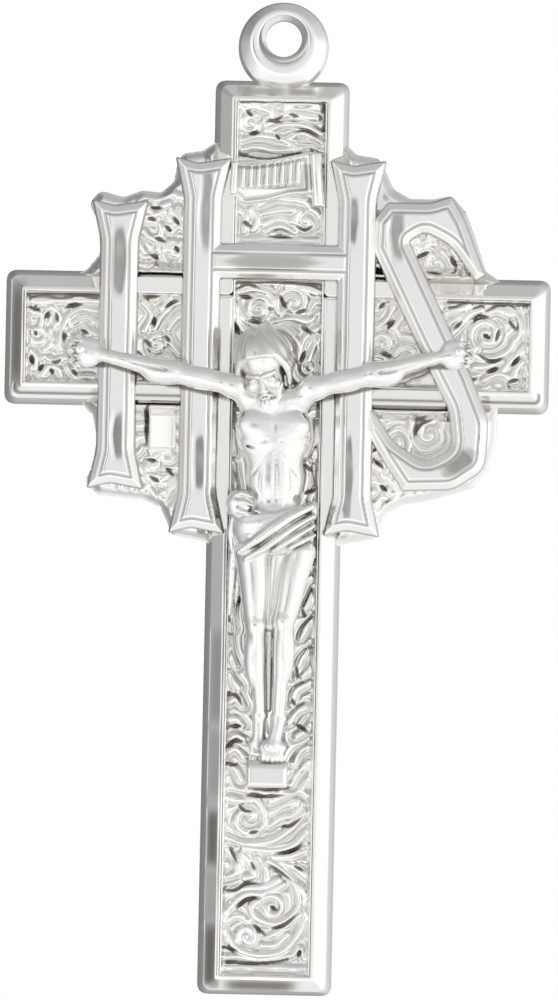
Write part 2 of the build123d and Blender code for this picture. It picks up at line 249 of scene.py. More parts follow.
def silver(name, roughness, shade_depth=0.0):
    """Polished silver: its roughness varies in soft patches, and a per-point attribute makes it rougher and
    paints shade into its colour.
    """
    material = bpy.data.materials.new(name)
    material.use_nodes = True
    nodes, links = material.node_tree.nodes, material.node_tree.links
    shader = nodes["Principled BSDF"]
    shader.inputs["Metallic"].default_value = 1.0
    place = nodes.new("ShaderNodeTexCoord")

    def noise(scale, detail):
        texture = nodes.new("ShaderNodeTexNoise")
        texture.inputs["Scale"].default_value = scale
        texture.inputs["Detail"].default_value = detail
        links.new(place.outputs["Object"], texture.inputs["Vector"])
        return texture.outputs["Fac"]

    painted_shade = nodes.new("ShaderNodeAttribute")
    painted_shade.attribute_name = "painted_shade"
    buffed = nodes.new("ShaderNodeMapRange")
    buffed.inputs["From Min"].default_value = 0.3
    buffed.inputs["From Max"].default_value = 0.7
    buffed.inputs["To Min"].default_value = roughness * 0.75
    buffed.inputs["To Max"].default_value = roughness * 1.35
    links.new(noise(420, 4), buffed.inputs["Value"])
    rougher = nodes.new("ShaderNodeMath")
    rougher.operation = "MULTIPLY_ADD"
    rougher.inputs[1].default_value = 0.22
    links.new(painted_shade.outputs["Fac"], rougher.inputs[0])
    links.new(buffed.outputs["Result"], rougher.inputs[2])
    links.new(rougher.outputs["Value"], shader.inputs["Roughness"])
    # painted shade: the colour darkens with the attribute by the given depth
    tone = nodes.new("ShaderNodeMix")
    tone.data_type = "RGBA"
    tone.inputs["A"].default_value = (0.93, 0.922, 0.9, 1)
    tone.inputs["B"].default_value = (0.93 - shade_depth, 0.915 - shade_depth, 0.885 - shade_depth, 1)
    links.new(painted_shade.outputs["Fac"], tone.inputs["Factor"])
    links.new(tone.outputs["Result"], shader.inputs["Base Color"])
    bump = nodes.new("ShaderNodeBump")
    bump.inputs["Strength"].default_value = 0.06
    bump.inputs["Distance"].default_value = 0.00002
    links.new(noise(2600, 2), bump.inputs["Height"])
    links.new(bump.outputs["Normal"], shader.inputs["Normal"])
    return material


# the last number is how much darker the painted shade makes the colour
bright = silver("silver_bright", 0.13, 0.65)
figure_silver = silver("silver_figure", 0.2, 0.4)
relief_silver = silver("silver_relief", 0.18, 0.7)

# --------------------------------------------------------------------------- cross

# Shoulder, elbow, wrist and palm of the figure's arms, and the half thickness at each
LEFT_ARM = [(-1.95, -16.65), (-5.0, -16.02), (-7.8, -15.42), (-9.0, -15.2)]
RIGHT_ARM = [(1.7, -16.7), (4.6, -15.95), (7.3, -15.2), (8.4, -14.95)]
ARM_RADII = [0.6, 0.6, 0.36, 0.6]


def painted_arm_shadow(x, z):
    """How far a point lies in the shadow painted along the undersides of the arms, 0 to 1."""
    dark = np.zeros(x.shape)
    for route in (LEFT_ARM, RIGHT_ARM):
        for (x0, z0), (x1, z1), r0, r1 in zip(route, route[1:], ARM_RADII, ARM_RADII[1:]):
            t = ((x - x0) * (x1 - x0) + (z - z0) * (z1 - z0)) / ((x1 - x0) ** 2 + (z1 - z0) ** 2)
            t = np.clip(t, 0, 1)
            away_x, away_z = x - x0 - t * (x1 - x0), z - z0 - t * (z1 - z0)
            gap = np.hypot(away_x, away_z) - r0 - (r1 - r0) * t
            arm_shadow_share = np.exp(-(np.maximum(gap - 0.04, 0) / 0.1) ** 4) * (away_z < 0) * (gap > -0.3)
            dark = np.maximum(dark, arm_shadow_share)
    return dark


def corner_points(inset):
    """The twelve corners of the cross moved inwards by inset, each with the radius of its rounding."""
    half, tip = HALF_WIDTH - inset, ARM_TIP - inset
    top, bottom = CROSS_TOP - inset, CROSS_BOTTOM + inset
    over, under = ARM_Z + half, ARM_Z - half
    round_out = max(0.55 - inset / 2, 0.1)
    round_in = 0.06 + 0.2 * inset
    right = [(half, top, round_out), (half, over, round_in), (tip, over, round_out), (tip, under, round_out),
             (half, under, round_in), (half, bottom, round_out)]
    return right + [(-x, z, r) for x, z, r in reversed(right)]


# The border is flat where it runs behind the letters, and each limit lies under one of them
FLAT_TOP, FLAT_BOTTOM, FLAT_LEFT, FLAT_UPPER_RIGHT, FLAT_LOWER_RIGHT = -6.2, -23.4, -8.4, 6.3, 9.2


def cross_ring(inset, height, parts):
    """Outline of the cross moved inwards by inset, each side divided into the given number of parts."""
    corners = rounded(corner_points(inset)).reshape(12, 6, 2)
    ring = []
    for i, number in enumerate(parts):
        ring += list(corners[i])
        start, stop = corners[i][-1], corners[(i + 1) % 12][0]
        ring += [start + (stop - start) * t for t in np.linspace(0, 1, number + 1)[1:-1]]
    ring = np.array(ring)
    x, z = ring.T
    lift = wobble(x, z, 1.6) * min(height, 1) - 0.12 * hollows_and_painted_shade(x, z, inset)
    behind = (np.abs(x) < HALF_WIDTH + 0.05) & (z > FLAT_BOTTOM) & (z < FLAT_TOP)
    covered = np.where(z > ARM_Z, FLAT_UPPER_RIGHT, FLAT_LOWER_RIGHT)
    behind |= (x > FLAT_LEFT) & (x < covered) & (np.abs(z - ARM_Z) < HALF_WIDTH + 0.05)
    if FLANK_H < height and inset < BEVEL_IN + 0.05:
        lift[behind] = RIM_H - 0.02 - height
    return np.column_stack([ring, np.full(len(ring), height) + lift])


# Hollows in the bevel, each also darkened with painted shade: x, z, half width, half height, strength
HOLLOWS = [(-2.75, -38.2, 0.6, 1.3, 0.9), (-2.75, -43.9, 0.6, 1.6, 0.95), (-0.2, -45.4, 1.7, 0.5, 1),
           (-12.6, -14.3, 0.6, 2.4, 0.85), (-0.9, -2.4, 1.1, 0.5, 0.5), (0.9, -2.4, 0.7, 0.5, 0.7),
           (-2.75, -30.5, 0.6, 2.2, 0.45), (-2.75, -41.0, 0.6, 1.2, 0.2), (-2.75, -34.6, 0.6, 1.6, 0.3)]
# Inset, strength and width of the grooves along the undersides of the cross's arms, darkened with painted
# shade
UNDER_LINES = [(0.12, 0.6, 0.06), (0.52, 0.9, 0.07)]
UNDER_ARMS = ARM_Z - HALF_WIDTH


def hollows_and_painted_shade(x, z, inset):
    """Strength, 0 to 1, of the hollows in the bevel and of the grooves along the undersides of the arms:
    their depth, and their painted shade.
    """
    across = np.clip((inset - FLANK_IN) / (BEVEL_IN - FLANK_IN), 0, 1)
    strength = np.zeros(len(x))
    for cx, cz, wide, tall, strong in HOLLOWS:
        share = strong * sin(pi * across) ** 0.3 * np.exp(-((x - cx) / wide) ** 8 - ((z - cz) / tall) ** 8)
        strength = np.maximum(strength, share)
    under = (np.abs(z - UNDER_ARMS) < 1.0) & (np.abs(x) > HALF_WIDTH + 0.5)
    for line, strong, wide in UNDER_LINES:
        strength = np.maximum(strength, strong * under * exp(-((inset - line) / wide) ** 2))
    return strength


base = np.array(corner_points(0))[:, :2]
SIDE_STEP = 0.14                          # spacing of the points along the sides
sides = [max(2, int(hypot(*(b - a)) / SIDE_STEP)) for a, b in zip(base, np.roll(base, -1, axis=0))]
FLANK_H, FLANK_IN = 1.12, 0.29            # height and inset of the flank's top
BEVEL_H, BEVEL_IN = RIM_H - 0.04, 0.84    # height and inset of the bevel's top
BEVEL = []
for share in np.linspace(0.06, 0.94, 16):
    BEVEL.append((FLANK_IN + (BEVEL_IN - FLANK_IN) * share, FLANK_H + (BEVEL_H - FLANK_H) * share))
edge = rounded([(0.05, 0, 0), (0, 0.08, 0.05), (FLANK_IN, FLANK_H, 0.02), (*BEVEL[0], 0)], closed=False,
               steps=4)
lip = rounded([(*BEVEL[-1], 0), (BEVEL_IN, BEVEL_H, 0.05), (BORDER - 0.06, RIM_H, 0.06),
               (BORDER - 0.01, FIELD_H, 0)], closed=False, steps=4)
profile = [(0.3, 0)] + list(edge[:-1]) + BEVEL + list(lip[1:])
rings = [cross_ring(inset, height, sides) for inset, height in profile]
# painted shade on the frame: in the hollows and grooves, and the shadow painted under the arms
painted_frame_shade = []
for ring, (inset, _) in zip(rings, profile):
    x, z, _ = ring.T
    painted_frame_shade.append(np.maximum(hollows_and_painted_shade(x, z, inset), painted_arm_shadow(x, z)))
sweep("cross_frame", rings, "cross_body", "cross_silver", bright, np.concatenate(painted_frame_shade))

# --------------------------------------------------------------------------- suspension eye

eye_low, eye_high = box_mm("suspension_eye")
EYE_R = (eye_high.x - eye_low.x) / 2
EYE_DROP = EYE_R - eye_high.z             # the outer rim is centred this far below the hole
HOLE_R = 0.86
EYE_THICK = eye_high.y - eye_low.y


EYE_POINTS = 128                          # number of points round the eye


def eye_ring(share, height):
    """Ring round the eye at a height; share is 0 at the hole's wall and 1 at the outer rim."""
    angles = np.linspace(0, 2 * pi, EYE_POINTS, endpoint=False)
    outer = -EYE_DROP * np.sin(angles) + np.sqrt(EYE_R ** 2 - (EYE_DROP * np.cos(angles)) ** 2)
    radius = HOLE_R + (outer - HOLE_R) * share
    return np.column_stack([radius * np.cos(angles), radius * np.sin(angles), np.full(EYE_POINTS, height)])


# Section of the eye: share of the way from the hole to the rim, height, and radius of the corner's rounding
EYE_SECTION = [(0, 0.3 * EYE_THICK, 0.1), (0, 0.6 * EYE_THICK, 0.1), (0.27, EYE_THICK - 0.02, 0.08),
               (0.52, EYE_THICK, 0.35), (0.9, 0.72 * EYE_THICK, 0.2), (1, 0.5 * EYE_THICK, 0.3),
               (0.9, 0.25 * EYE_THICK, 0.2), (0.55, 0, 0.3), (0.2, 0.02, 0.1)]
rings = [eye_ring(share, height) for share, height in rounded(EYE_SECTION, steps=5)]
points = np.concatenate(rings)
points[:, 2] += wobble(points[:, 0], points[:, 1], 0.8)
faces = []
for r in range(len(rings)):
    here, there = r * EYE_POINTS, (r + 1) % len(rings) * EYE_POINTS
    for i in range(EYE_POINTS):
        j = (i + 1) % EYE_POINTS
        faces.append([here + i, here + j, there + j, there + i])
as_piece("eye_ring", points, faces, "suspension_eye", "eye_silver", bright)

# --------------------------------------------------------------------------- letters

STROKE = 1.88                             # width of a post
FLARE = 0.42                              # reach of a serif beyond the post
SERIF = 1.9                               # height of a serif
H_X = 3.68                                # middle of the posts of the middle letter
GROOVE_IN, GROOVE_WIDE = 0.47, 0.045      # inset and width of the fine groove in a letter's front
i_low, i_high = box_mm("monogram_i")
I_X = (i_low.x + i_high.x) / 2
h_low, h_high = box_mm("monogram_h")


def post(x, top, bottom):
    """Upright stroke with a flared, hollow-ended serif at each end."""
    half, wide = STROKE / 2, STROKE / 2 + FLARE
    upper = [(-half, top - SERIF, 1.6), (-wide, top, 0.1), (-0.25, top - 0.28, 0.9), (wide, top, 0.1),
             (half, top - SERIF, 1.6)]
    lower = [(half, bottom + SERIF, 1.6), (wide, bottom, 0.1), (-0.25, bottom + 0.28, 0.9),
             (-wide, bottom, 0.1), (-half, bottom + SERIF, 1.6)]
    return rounded([(x + dx, z, r) for dx, z, r in upper + lower])


def letter_height(facets):
    """Height of a letter's front: rounded edge, bevel, fine groove and a polished flat with tilted facets;
    with painted shade in the groove, along the edge and under the arms, and a painted dark reflection on some
    facets.
    """

    def height(x, z, inside):
        edge = LETTER_H - 0.46 + 0.14 * np.sqrt(smooth_step(inside, 0, 0.09))
        bevel = 0.24 * smooth_step(inside, 0.03, 0.44) ** 0.9
        groove = np.exp(-((inside - GROOVE_IN) / GROOVE_WIDE) ** 2)
        flat = 0.06 * smooth_step(inside, 0.45, 0.6)
        front = edge + bevel - 0.06 * groove + flat
        polished = smooth_step(inside, 0.42, 0.56)
        painted_facet_reflection = np.zeros(x.shape)
        for cx, cz, wide, tall, tilt, pitch, dark in facets:
            taper = wide * (1.1 - 0.35 * np.abs(z - cz) / tall)
            across = (x - cx + 0.04 * np.sin(1.9 * z)) / np.maximum(taper, 0.1)
            share = np.exp(-across ** 6 - ((z - cz) / tall) ** 6)
            uneven = 1 + 0.12 * np.sin(2.9 * z + 1.7 * x)
            front += polished * share * (tilt * uneven * (x - cx) - pitch * (z - cz) - 0.02)
            painted_facet_reflection = np.maximum(painted_facet_reflection, dark * share * polished)
        front += wobble(x, z)
        # painted shade in the fine groove and along the letter's edge
        lines = 0.8 * groove + 0.5 * (1 - smooth_step(inside, 0.03, 0.11))
        return front, np.maximum(np.maximum(lines, painted_facet_reflection), painted_arm_shadow(x, z))

    return height


# Facets: x, z, half width, half height, tilt to the left, tilt upwards, darkness of the dark reflection
# painted on it
I_FACETS = [(I_X, -10.8, 0.4, 1.6, 0.135, 0, 0.4), (I_X + 0.1, -19.1, 0.32, 1.2, 0.1, 0, 0)]
H_FACETS = [(-3.5, -8.1, 0.33, 2.1, 0.135, 0, 0.4), (-3.6, -20.3, 0.36, 1.4, 0.115, 0, 0.1),
            (3.42, -8.7, 0.36, 1.1, 0.14, 0, 0.4), (3.45, -20.9, 0.34, 2.1, 0.11, 0, 0.05),
            (-0.4, -10.72, 2.1, 0.4, 0, 0.3, 0.4)]
S_FACETS = [(5.6, -9.2, 0.4, 1.3, 0.14, 0, 0.4), (8.7, -20.1, 0.95, 0.7, 0.135, 0, 0.55)]
BAR_TOP, BAR_BOTTOM = -9.85, -11.6
bar = rounded([(-H_X, BAR_TOP, 0), (H_X, BAR_TOP, 0), (H_X, BAR_BOTTOM, 0), (-H_X, BAR_BOTTOM, 0)], steps=2)
S_CORNERS = [
    (4.45, -8.6, 0.3), (5.1, -7.75, 0.3), (7.1, -7.75, 1.5), (8.15, -7.4, 0.12), (8.8, -8.5, 1.2),
    (9.85, -11.15, 0.12), (9.35, -11.45, 0.12), (8.1, -9.75, 1.8), (6.9, -9.15, 0.6), (6.2, -9.6, 0.15),
    (9.25, -15.9, 4), (10.15, -18.1, 2.2), (10.0, -20.4, 1.2), (8.5, -21.4, 1.5), (6.1, -21.5, 0.12),
    (5.2, -20.2, 2), (4.3, -18.75, 0.1), (4.3, -17.15, 0.1), (5.6, -19.1, 1.6), (7.1, -20.1, 0.9),
    (8.4, -19.4, 0.8), (8.2, -17.6, 1.8), (7.3, -15.9, 2), (4.4, -10.0, 0.5),
]
LETTERS = {
    "i": ([post(I_X, i_high.z, i_low.z)], I_FACETS),
    "h": ([post(-H_X, h_high.z, h_low.z), post(H_X, h_high.z, h_low.z), bar], H_FACETS),
    "s": ([rounded(S_CORNERS)], S_FACETS),
}
for letter, (loops, facets) in LETTERS.items():
    relief("letter_" + letter, loops, letter_height(facets), WEB_H - 0.1, "monogram_" + letter,
           "letter_silver", bright)

# --------------------------------------------------------------------------- ornament


def flowing(route, parts=8):
    """Smooth line through a few points (x, z)."""
    route = np.array(route, float)
    ends = np.concatenate([[2 * route[0] - route[1]], route, [2 * route[-1] - route[-2]]])
    line = []
    for p0, p1, p2, p3 in zip(ends, ends[1:], ends[2:], ends[3:]):
        for t in np.arange(parts) / parts:
            line.append(0.5 * (2 * p1 + (p2 - p0) * t + (2 * p0 - 5 * p1 + 4 * p2 - p3) * t * t
                               + (3 * p1 - p0 - 3 * p2 + p3) * t ** 3))
    return np.array(line + [route[-1]])


def stem(width, *route):
    """Band of even width with rounded ends."""
    line = flowing(route)
    return line, np.full(len(line), width)


def leaf(width, *route):
    """Band that swells from a point and runs out to a point."""
    line = flowing(route)
    return line, width * (0.25 + 0.75 * np.sin(pi * np.linspace(0.05, 0.97, len(line))) ** 0.8)


def curl(x, z, radius, start, sweep, width):
    """Scroll that winds inwards from a start angle through a sweep, in degrees, with a bud at its eye."""
    t = np.linspace(0, 1, max(10, int(abs(sweep) / 14)))
    angle = np.radians(start + sweep * t)
    reach = radius * (1 - 0.82 * t ** 1.15)
    line = np.column_stack([x + reach * np.cos(angle), z + reach * np.sin(angle)])
    return line, width * (0.7 + 0.3 * np.cos(pi * t)) + width * 0.5 * smooth_step(t, 0.9, 1)


def foliage(seed, low, high, count, size=0.5):
    """Short leaves scattered evenly over a rectangle, turned along a slowly swirling field."""
    random = np.random.default_rng(seed)
    leaves = []
    for _ in range(count):
        x, z = random.uniform(low, high)
        turn = 2.2 * sin(1.3 * x + 0.5 * z) + 1.7 * cos(0.9 * z - 0.6 * x) + random.uniform(-0.5, 0.5)
        length, bend = size * random.uniform(0.7, 1.3), random.uniform(-0.35, 0.35)
        across = np.array([-sin(turn), cos(turn)]) * bend * length
        along = np.array([cos(turn), sin(turn)]) * length
        middle = np.array([x, z])
        width = random.uniform(0.08, 0.13)
        leaves.append(leaf(width, middle - along / 2, middle + across, middle + along / 2))
    return leaves


def stroke_height(x, z, strokes):
    """Height of rounded strokes over their ground: each is a half-round band."""
    height = np.zeros(x.shape)
    for line, widths in strokes:
        near = close_to(x, z, line, widths.max())
        px, pz, best = x[near], z[near], np.zeros(near.sum())
        for (x0, z0), (x1, z1), w0, w1 in zip(line, line[1:], widths, widths[1:]):
            dx, dz = x1 - x0, z1 - z0
            t = np.clip(((px - x0) * dx + (pz - z0) * dz) / max(dx * dx + dz * dz, 1e-9), 0, 1)
            width = np.maximum(w0 + (w1 - w0) * t, 1e-3)
            share = ((px - x0 - t * dx) ** 2 + (pz - z0 - t * dz) ** 2) / width ** 2
            best = np.maximum(best, np.sqrt(np.maximum(1 - share, 0)) * np.minimum(width, 0.22) * 1.15)
        height[near] = np.maximum(height[near], best)
    return height


TOP_SCROLLS = [
    leaf(0.2, (-1.95, -3.35), (-1.2, -3.3), (-0.5, -3.55), (-0.85, -3.95)),
    leaf(0.17, (-0.75, -4.1), (-0.2, -3.75), (0.5, -3.6), (1.7, -3.75)),
    leaf(0.14, (0.2, -3.3), (1.0, -3.2), (1.8, -3.35)), curl(-1.5, -4.15, 0.5, 60, 400, 0.14),
    leaf(0.16, (-0.7, -4.35), (0.2, -4.1), (1.1, -4.15), (1.95, -4.55)),
    leaf(0.2, (0.3, -4.75), (0.95, -4.5), (1.5, -4.7), (1.95, -5.0)),
    leaf(0.15, (-1.9, -4.9), (-1.0, -4.65), (0.1, -4.85), (0.6, -5.15)),
    leaf(0.18, (-2.0, -5.35), (-1.2, -5.2), (-0.3, -5.35), (0.4, -5.3)),
    leaf(0.16, (0.7, -5.3), (1.3, -5.15), (1.9, -5.35)),
    leaf(0.17, (-2.0, -8.2), (-1.6, -8.5), (-1.7, -9.3)),
    leaf(0.16, (-1.4, -8.15), (-1.05, -8.6), (-1.3, -9.2)), curl(1.25, -8.75, 0.6, 120, 330, 0.16),
    leaf(0.14, (-0.9, -8.4), (-0.1, -8.2), (0.7, -8.15)),
    leaf(0.2, (-0.7, -9.2), (0.0, -8.95), (0.7, -9.25)),
    leaf(0.14, (-0.8, -8.85), (-0.1, -8.6), (0.5, -8.75)),
    stem(0.09, (-2.0, -9.62), (0, -9.58), (2.0, -9.62)),
]
CENTRE_SCROLLS = [
    curl(0.75, -12.65, 0.85, 215, -420, 0.17), curl(-0.95, -12.95, 0.62, 20, 400, 0.15),
    leaf(0.16, (-2.0, -12.2), (-1.4, -12.0), (-0.6, -12.15), (-0.2, -12.5)),
    leaf(0.14, (-2.0, -12.75), (-1.7, -13.3), (-1.1, -13.75)),
    leaf(0.14, (-2.0, -13.25), (-1.8, -13.8), (-1.4, -14.15)),
    leaf(0.17, (-0.5, -13.8), (0.4, -13.95), (1.0, -14.6), (1.0, -15.3)),
    leaf(0.15, (-0.2, -13.55), (0.7, -13.35), (1.5, -13.45), (1.95, -13.05)),
    leaf(0.16, (1.05, -15.0), (1.3, -14.3), (1.9, -13.8)),
    leaf(0.13, (1.5, -15.3), (1.75, -14.7), (1.95, -14.3)), curl(1.5, -15.75, 0.4, 90, 330, 0.12),
    leaf(0.12, (0.4, -11.95), (1.2, -11.9), (1.95, -12.1)),
    leaf(0.14, (-2.05, -14.3), (-1.95, -15.0), (-2.1, -15.6)),
]
SHAFT_SCROLLS = [
    curl(-0.95, -37.25, 0.95, 75, -430, 0.17), leaf(0.17, (-1.9, -36.3), (-1.2, -36.4), (-0.5, -36.35)),
    leaf(0.2, (-1.9, -38.2), (-1.0, -38.45), (0.2, -38.3), (1.1, -37.7), (1.8, -36.9)),
    leaf(0.16, (0.1, -37.6), (0.6, -37.2), (1.2, -37.05), (1.6, -36.55)),
    leaf(0.13, (0.3, -36.9), (0.8, -36.6), (1.4, -36.4)),
    stem(0.19, (-1.1, -38.65), (0.2, -38.75), (1.2, -38.5), (1.95, -37.75)),
    leaf(0.2, (0.3, -39.05), (1.1, -39.0), (1.95, -38.7)),
    leaf(0.18, (0.6, -39.3), (1.3, -39.5), (1.95, -39.95)),
    stem(0.19, (0.1, -39.25), (0.8, -39.75), (1.4, -40.4), (1.6, -41.2), (1.2, -41.9), (0.45, -42.25),
         (-0.4, -42.0), (-0.7, -41.5), (-0.35, -41.15)),
    curl(0.3, -41.5, 0.62, 130, -380, 0.16),
    leaf(0.17, (1.3, -40.2), (1.75, -40.6), (1.95, -41.2)),
    leaf(0.17, (-1.95, -38.7), (-1.45, -39.2), (-1.4, -39.8), (-1.85, -40.05)),
    leaf(0.15, (-1.2, -38.9), (-0.7, -39.4), (-0.6, -39.95), (-1.0, -40.1)),
    leaf(0.13, (-0.4, -39.1), (-0.05, -39.6), (0.0, -40.1)),
    leaf(0.16, (-2.0, -40.95), (-1.2, -40.6), (-0.2, -40.5), (0.6, -40.15)),
    leaf(0.13, (-0.1, -40.8), (0.4, -40.6), (0.85, -40.35)),
    stem(0.19, (-2.0, -41.9), (-1.5, -41.25), (-0.9, -40.85), (-0.2, -40.85)),
    stem(0.2, (-1.95, -42.6), (-1.4, -43.4), (-0.5, -43.75), (0.6, -43.65), (1.3, -43.1), (1.75, -42.3),
        (1.95, -41.6)), leaf(0.18, (0.1, -42.9), (0.6, -42.65), (1.1, -42.1), (1.7, -41.75)),
    curl(-0.85, -42.9, 0.5, 200, -400, 0.15), leaf(0.16, (-1.85, -42.1), (-1.3, -41.9), (-0.9, -42.15)),
    leaf(0.14, (-0.1, -43.3), (0.5, -43.25), (1.0, -42.8)),
    leaf(0.12, (-1.95, -43.9), (-1.2, -43.85), (-0.4, -44.0), (0.5, -43.95), (1.2, -43.75)),
    leaf(0.13, (1.3, -43.75), (1.7, -43.4), (1.9, -43.9)),
    stem(0.11, (-2.05, -44.4), (0, -44.36), (2.05, -44.4)),
    leaf(0.15, (1.1, -35.6), (1.5, -34.9), (1.95, -34.4)),
    leaf(0.14, (1.2, -34.6), (1.5, -34.0), (2.0, -33.7)),
    leaf(0.15, (1.3, -33.3), (1.7, -33.0), (2.0, -32.5)),
    leaf(0.14, (0.9, -32.6), (1.3, -32.1), (1.7, -31.9)),
    leaf(0.15, (1.0, -31.8), (1.2, -31.1), (1.9, -30.7)),
    leaf(0.17, (1.2, -30.5), (1.4, -29.7), (1.7, -29.2)),
    leaf(0.15, (1.5, -30.4), (1.95, -29.9), (1.9, -29.1)),
    leaf(0.13, (1.4, -28.6), (1.7, -28.0), (2.0, -27.6)),
    leaf(0.13, (1.5, -27.3), (1.8, -26.8), (2.0, -26.2)),
    leaf(0.15, (-1.3, -35.4), (-1.6, -34.9), (-2.0, -34.6)),
    leaf(0.16, (-1.2, -34.3), (-1.6, -33.95), (-2.0, -34.15)),
    leaf(0.15, (-1.2, -33.5), (-1.6, -33.3), (-2.0, -33.6)),
    leaf(0.15, (-1.3, -32.8), (-1.6, -32.5), (-2.05, -32.6)),
    leaf(0.14, (-1.3, -31.9), (-1.6, -31.5), (-2.0, -31.8)),
    leaf(0.13, (-1.5, -31.0), (-1.8, -30.6), (-2.05, -30.0)),
    leaf(0.13, (-1.7, -30.0), (-1.9, -29.4), (-2.0, -28.6)),
    leaf(0.12, (-1.9, -28.2), (-2.0, -27.6), (-2.0, -26.9)),
]
LEFT_SCROLLS = [
    stem(0.1, (-11.9, -12.78), (-10.5, -12.72), (-8.6, -12.72)),
    leaf(0.16, (-11.95, -13.05), (-11.6, -13.3), (-11.2, -13.25)),
    leaf(0.16, (-11.3, -13.95), (-11.15, -13.3), (-10.8, -13.05), (-10.5, -13.4), (-10.6, -13.95)),
    stem(0.17, (-10.3, -15.0), (-10.3, -14.2), (-10.0, -13.5), (-9.4, -13.1), (-8.7, -13.2)),
    leaf(0.16, (-9.95, -14.3), (-9.4, -14.0), (-8.7, -14.35)),
    leaf(0.16, (-9.8, -13.8), (-9.2, -13.55), (-8.65, -13.75)), curl(-11.4, -14.3, 0.55, 160, 380, 0.14),
    leaf(0.16, (-10.8, -14.1), (-10.75, -14.7), (-11.1, -15.1)),
    leaf(0.16, (-11.9, -15.0), (-11.5, -15.4), (-11.55, -16.0)),
    leaf(0.17, (-11.1, -15.4), (-10.6, -15.65), (-10.1, -15.45)),
    leaf(0.16, (-11.3, -16.35), (-10.9, -15.9), (-10.4, -16.0), (-10.2, -16.4)),
    leaf(0.15, (-10.0, -15.9), (-9.6, -16.3), (-8.8, -16.35)),
    leaf(0.13, (-12.0, -16.3), (-11.8, -15.9), (-11.95, -15.5)),
    leaf(0.15, (-6.4, -12.75), (-6.05, -13.3), (-6.35, -14.1)),
    leaf(0.16, (-5.9, -14.0), (-5.5, -13.3), (-5.0, -12.75), (-4.6, -12.7)),
    leaf(0.15, (-5.6, -13.0), (-5.2, -12.65), (-4.8, -12.4)),
    leaf(0.14, (-5.2, -14.0), (-4.9, -13.5), (-4.6, -13.3)), curl(-5.75, -14.75, 0.45, 80, 350, 0.12),
    leaf(0.13, (-5.2, -14.3), (-5.0, -14.8), (-4.7, -15.2)),
]
RIGHT_SCROLLS = [
    curl(9.95, -13.95, 0.78, 235, -470, 0.17),
    stem(0.17, (8.0, -14.2), (8.6, -13.6), (9.1, -13.0), (9.7, -12.75)),
    leaf(0.15, (9.9, -12.95), (10.5, -12.75), (11.1, -12.95)),
    leaf(0.17, (11.0, -12.7), (11.5, -13.1), (11.6, -13.8), (11.2, -14.3)),
    stem(0.16, (9.2, -14.6), (9.6, -15.0), (10.3, -15.05), (11.0, -14.7), (11.3, -14.2)),
    leaf(0.16, (10.7, -15.7), (11.2, -15.1), (11.8, -14.5)),
    leaf(0.15, (11.3, -15.8), (11.6, -15.3), (11.95, -15.1)),
    leaf(0.16, (9.4, -15.5), (10.0, -15.45), (10.7, -15.15)),
    leaf(0.17, (9.9, -16.1), (10.6, -15.8), (11.4, -16.1)),
    leaf(0.14, (8.1, -12.9), (8.6, -12.75), (9.1, -12.55)),
    leaf(0.13, (8.1, -13.5), (8.5, -13.2), (8.9, -12.95)),
    leaf(0.13, (11.6, -12.6), (11.9, -13.2), (11.85, -13.8)), curl(5.05, -14.45, 0.5, 200, -360, 0.13),
    leaf(0.15, (4.7, -13.7), (5.2, -13.3), (5.5, -12.7)),
    leaf(0.13, (4.7, -12.9), (4.9, -12.5), (5.1, -12.0)),
    leaf(0.14, (5.6, -15.0), (6.0, -14.6), (6.4, -14.7)),
]


TOP_CUTS = [
    ((-2.0, -3.05), (0, -3.02), (1.75, -3.05), (2.0, -3.35), (2.0, -4.4)), ((-1.7, -3.5), (-1.4, -3.75)),
    ((-0.8, -3.95), (-0.3, -3.9), (0.1, -3.65)), ((0.3, -3.6), (0.8, -3.72)),
    ((0.6, -4.45), (1.2, -4.4), (1.9, -4.8)), ((-0.3, -4.55), (-0.1, -4.85)), ((-1.6, -4.6), (-1.0, -4.5)),
    ((-1.9, -5.6), (-0.6, -5.75), (0.9, -5.45)), ((-1.8, -8.75), (-1.4, -9.0)),
    ((0.7, -8.9), (1.2, -9.1), (1.6, -8.9)), ((-0.6, -9.45), (0.7, -9.5)),
]
CENTRE_CUTS = [
    ((-2.0, -11.7), (0, -11.66), (2.0, -11.7)), ((2.1, -12.0), (2.1, -13.8)), ((2.1, -14.0), (2.1, -15.8)),
    ((-1.9, -12.3), (-1.2, -12.45)), ((0.0, -12.2), (0.4, -12.9)), ((-1.5, -13.5), (-0.7, -13.6)),
    ((1.1, -13.7), (1.7, -14.1)), ((0.8, -13.1), (1.4, -12.9)), ((1.3, -14.9), (1.1, -15.5)),
    ((-2.1, -13.6), (-1.8, -14.2)),
]
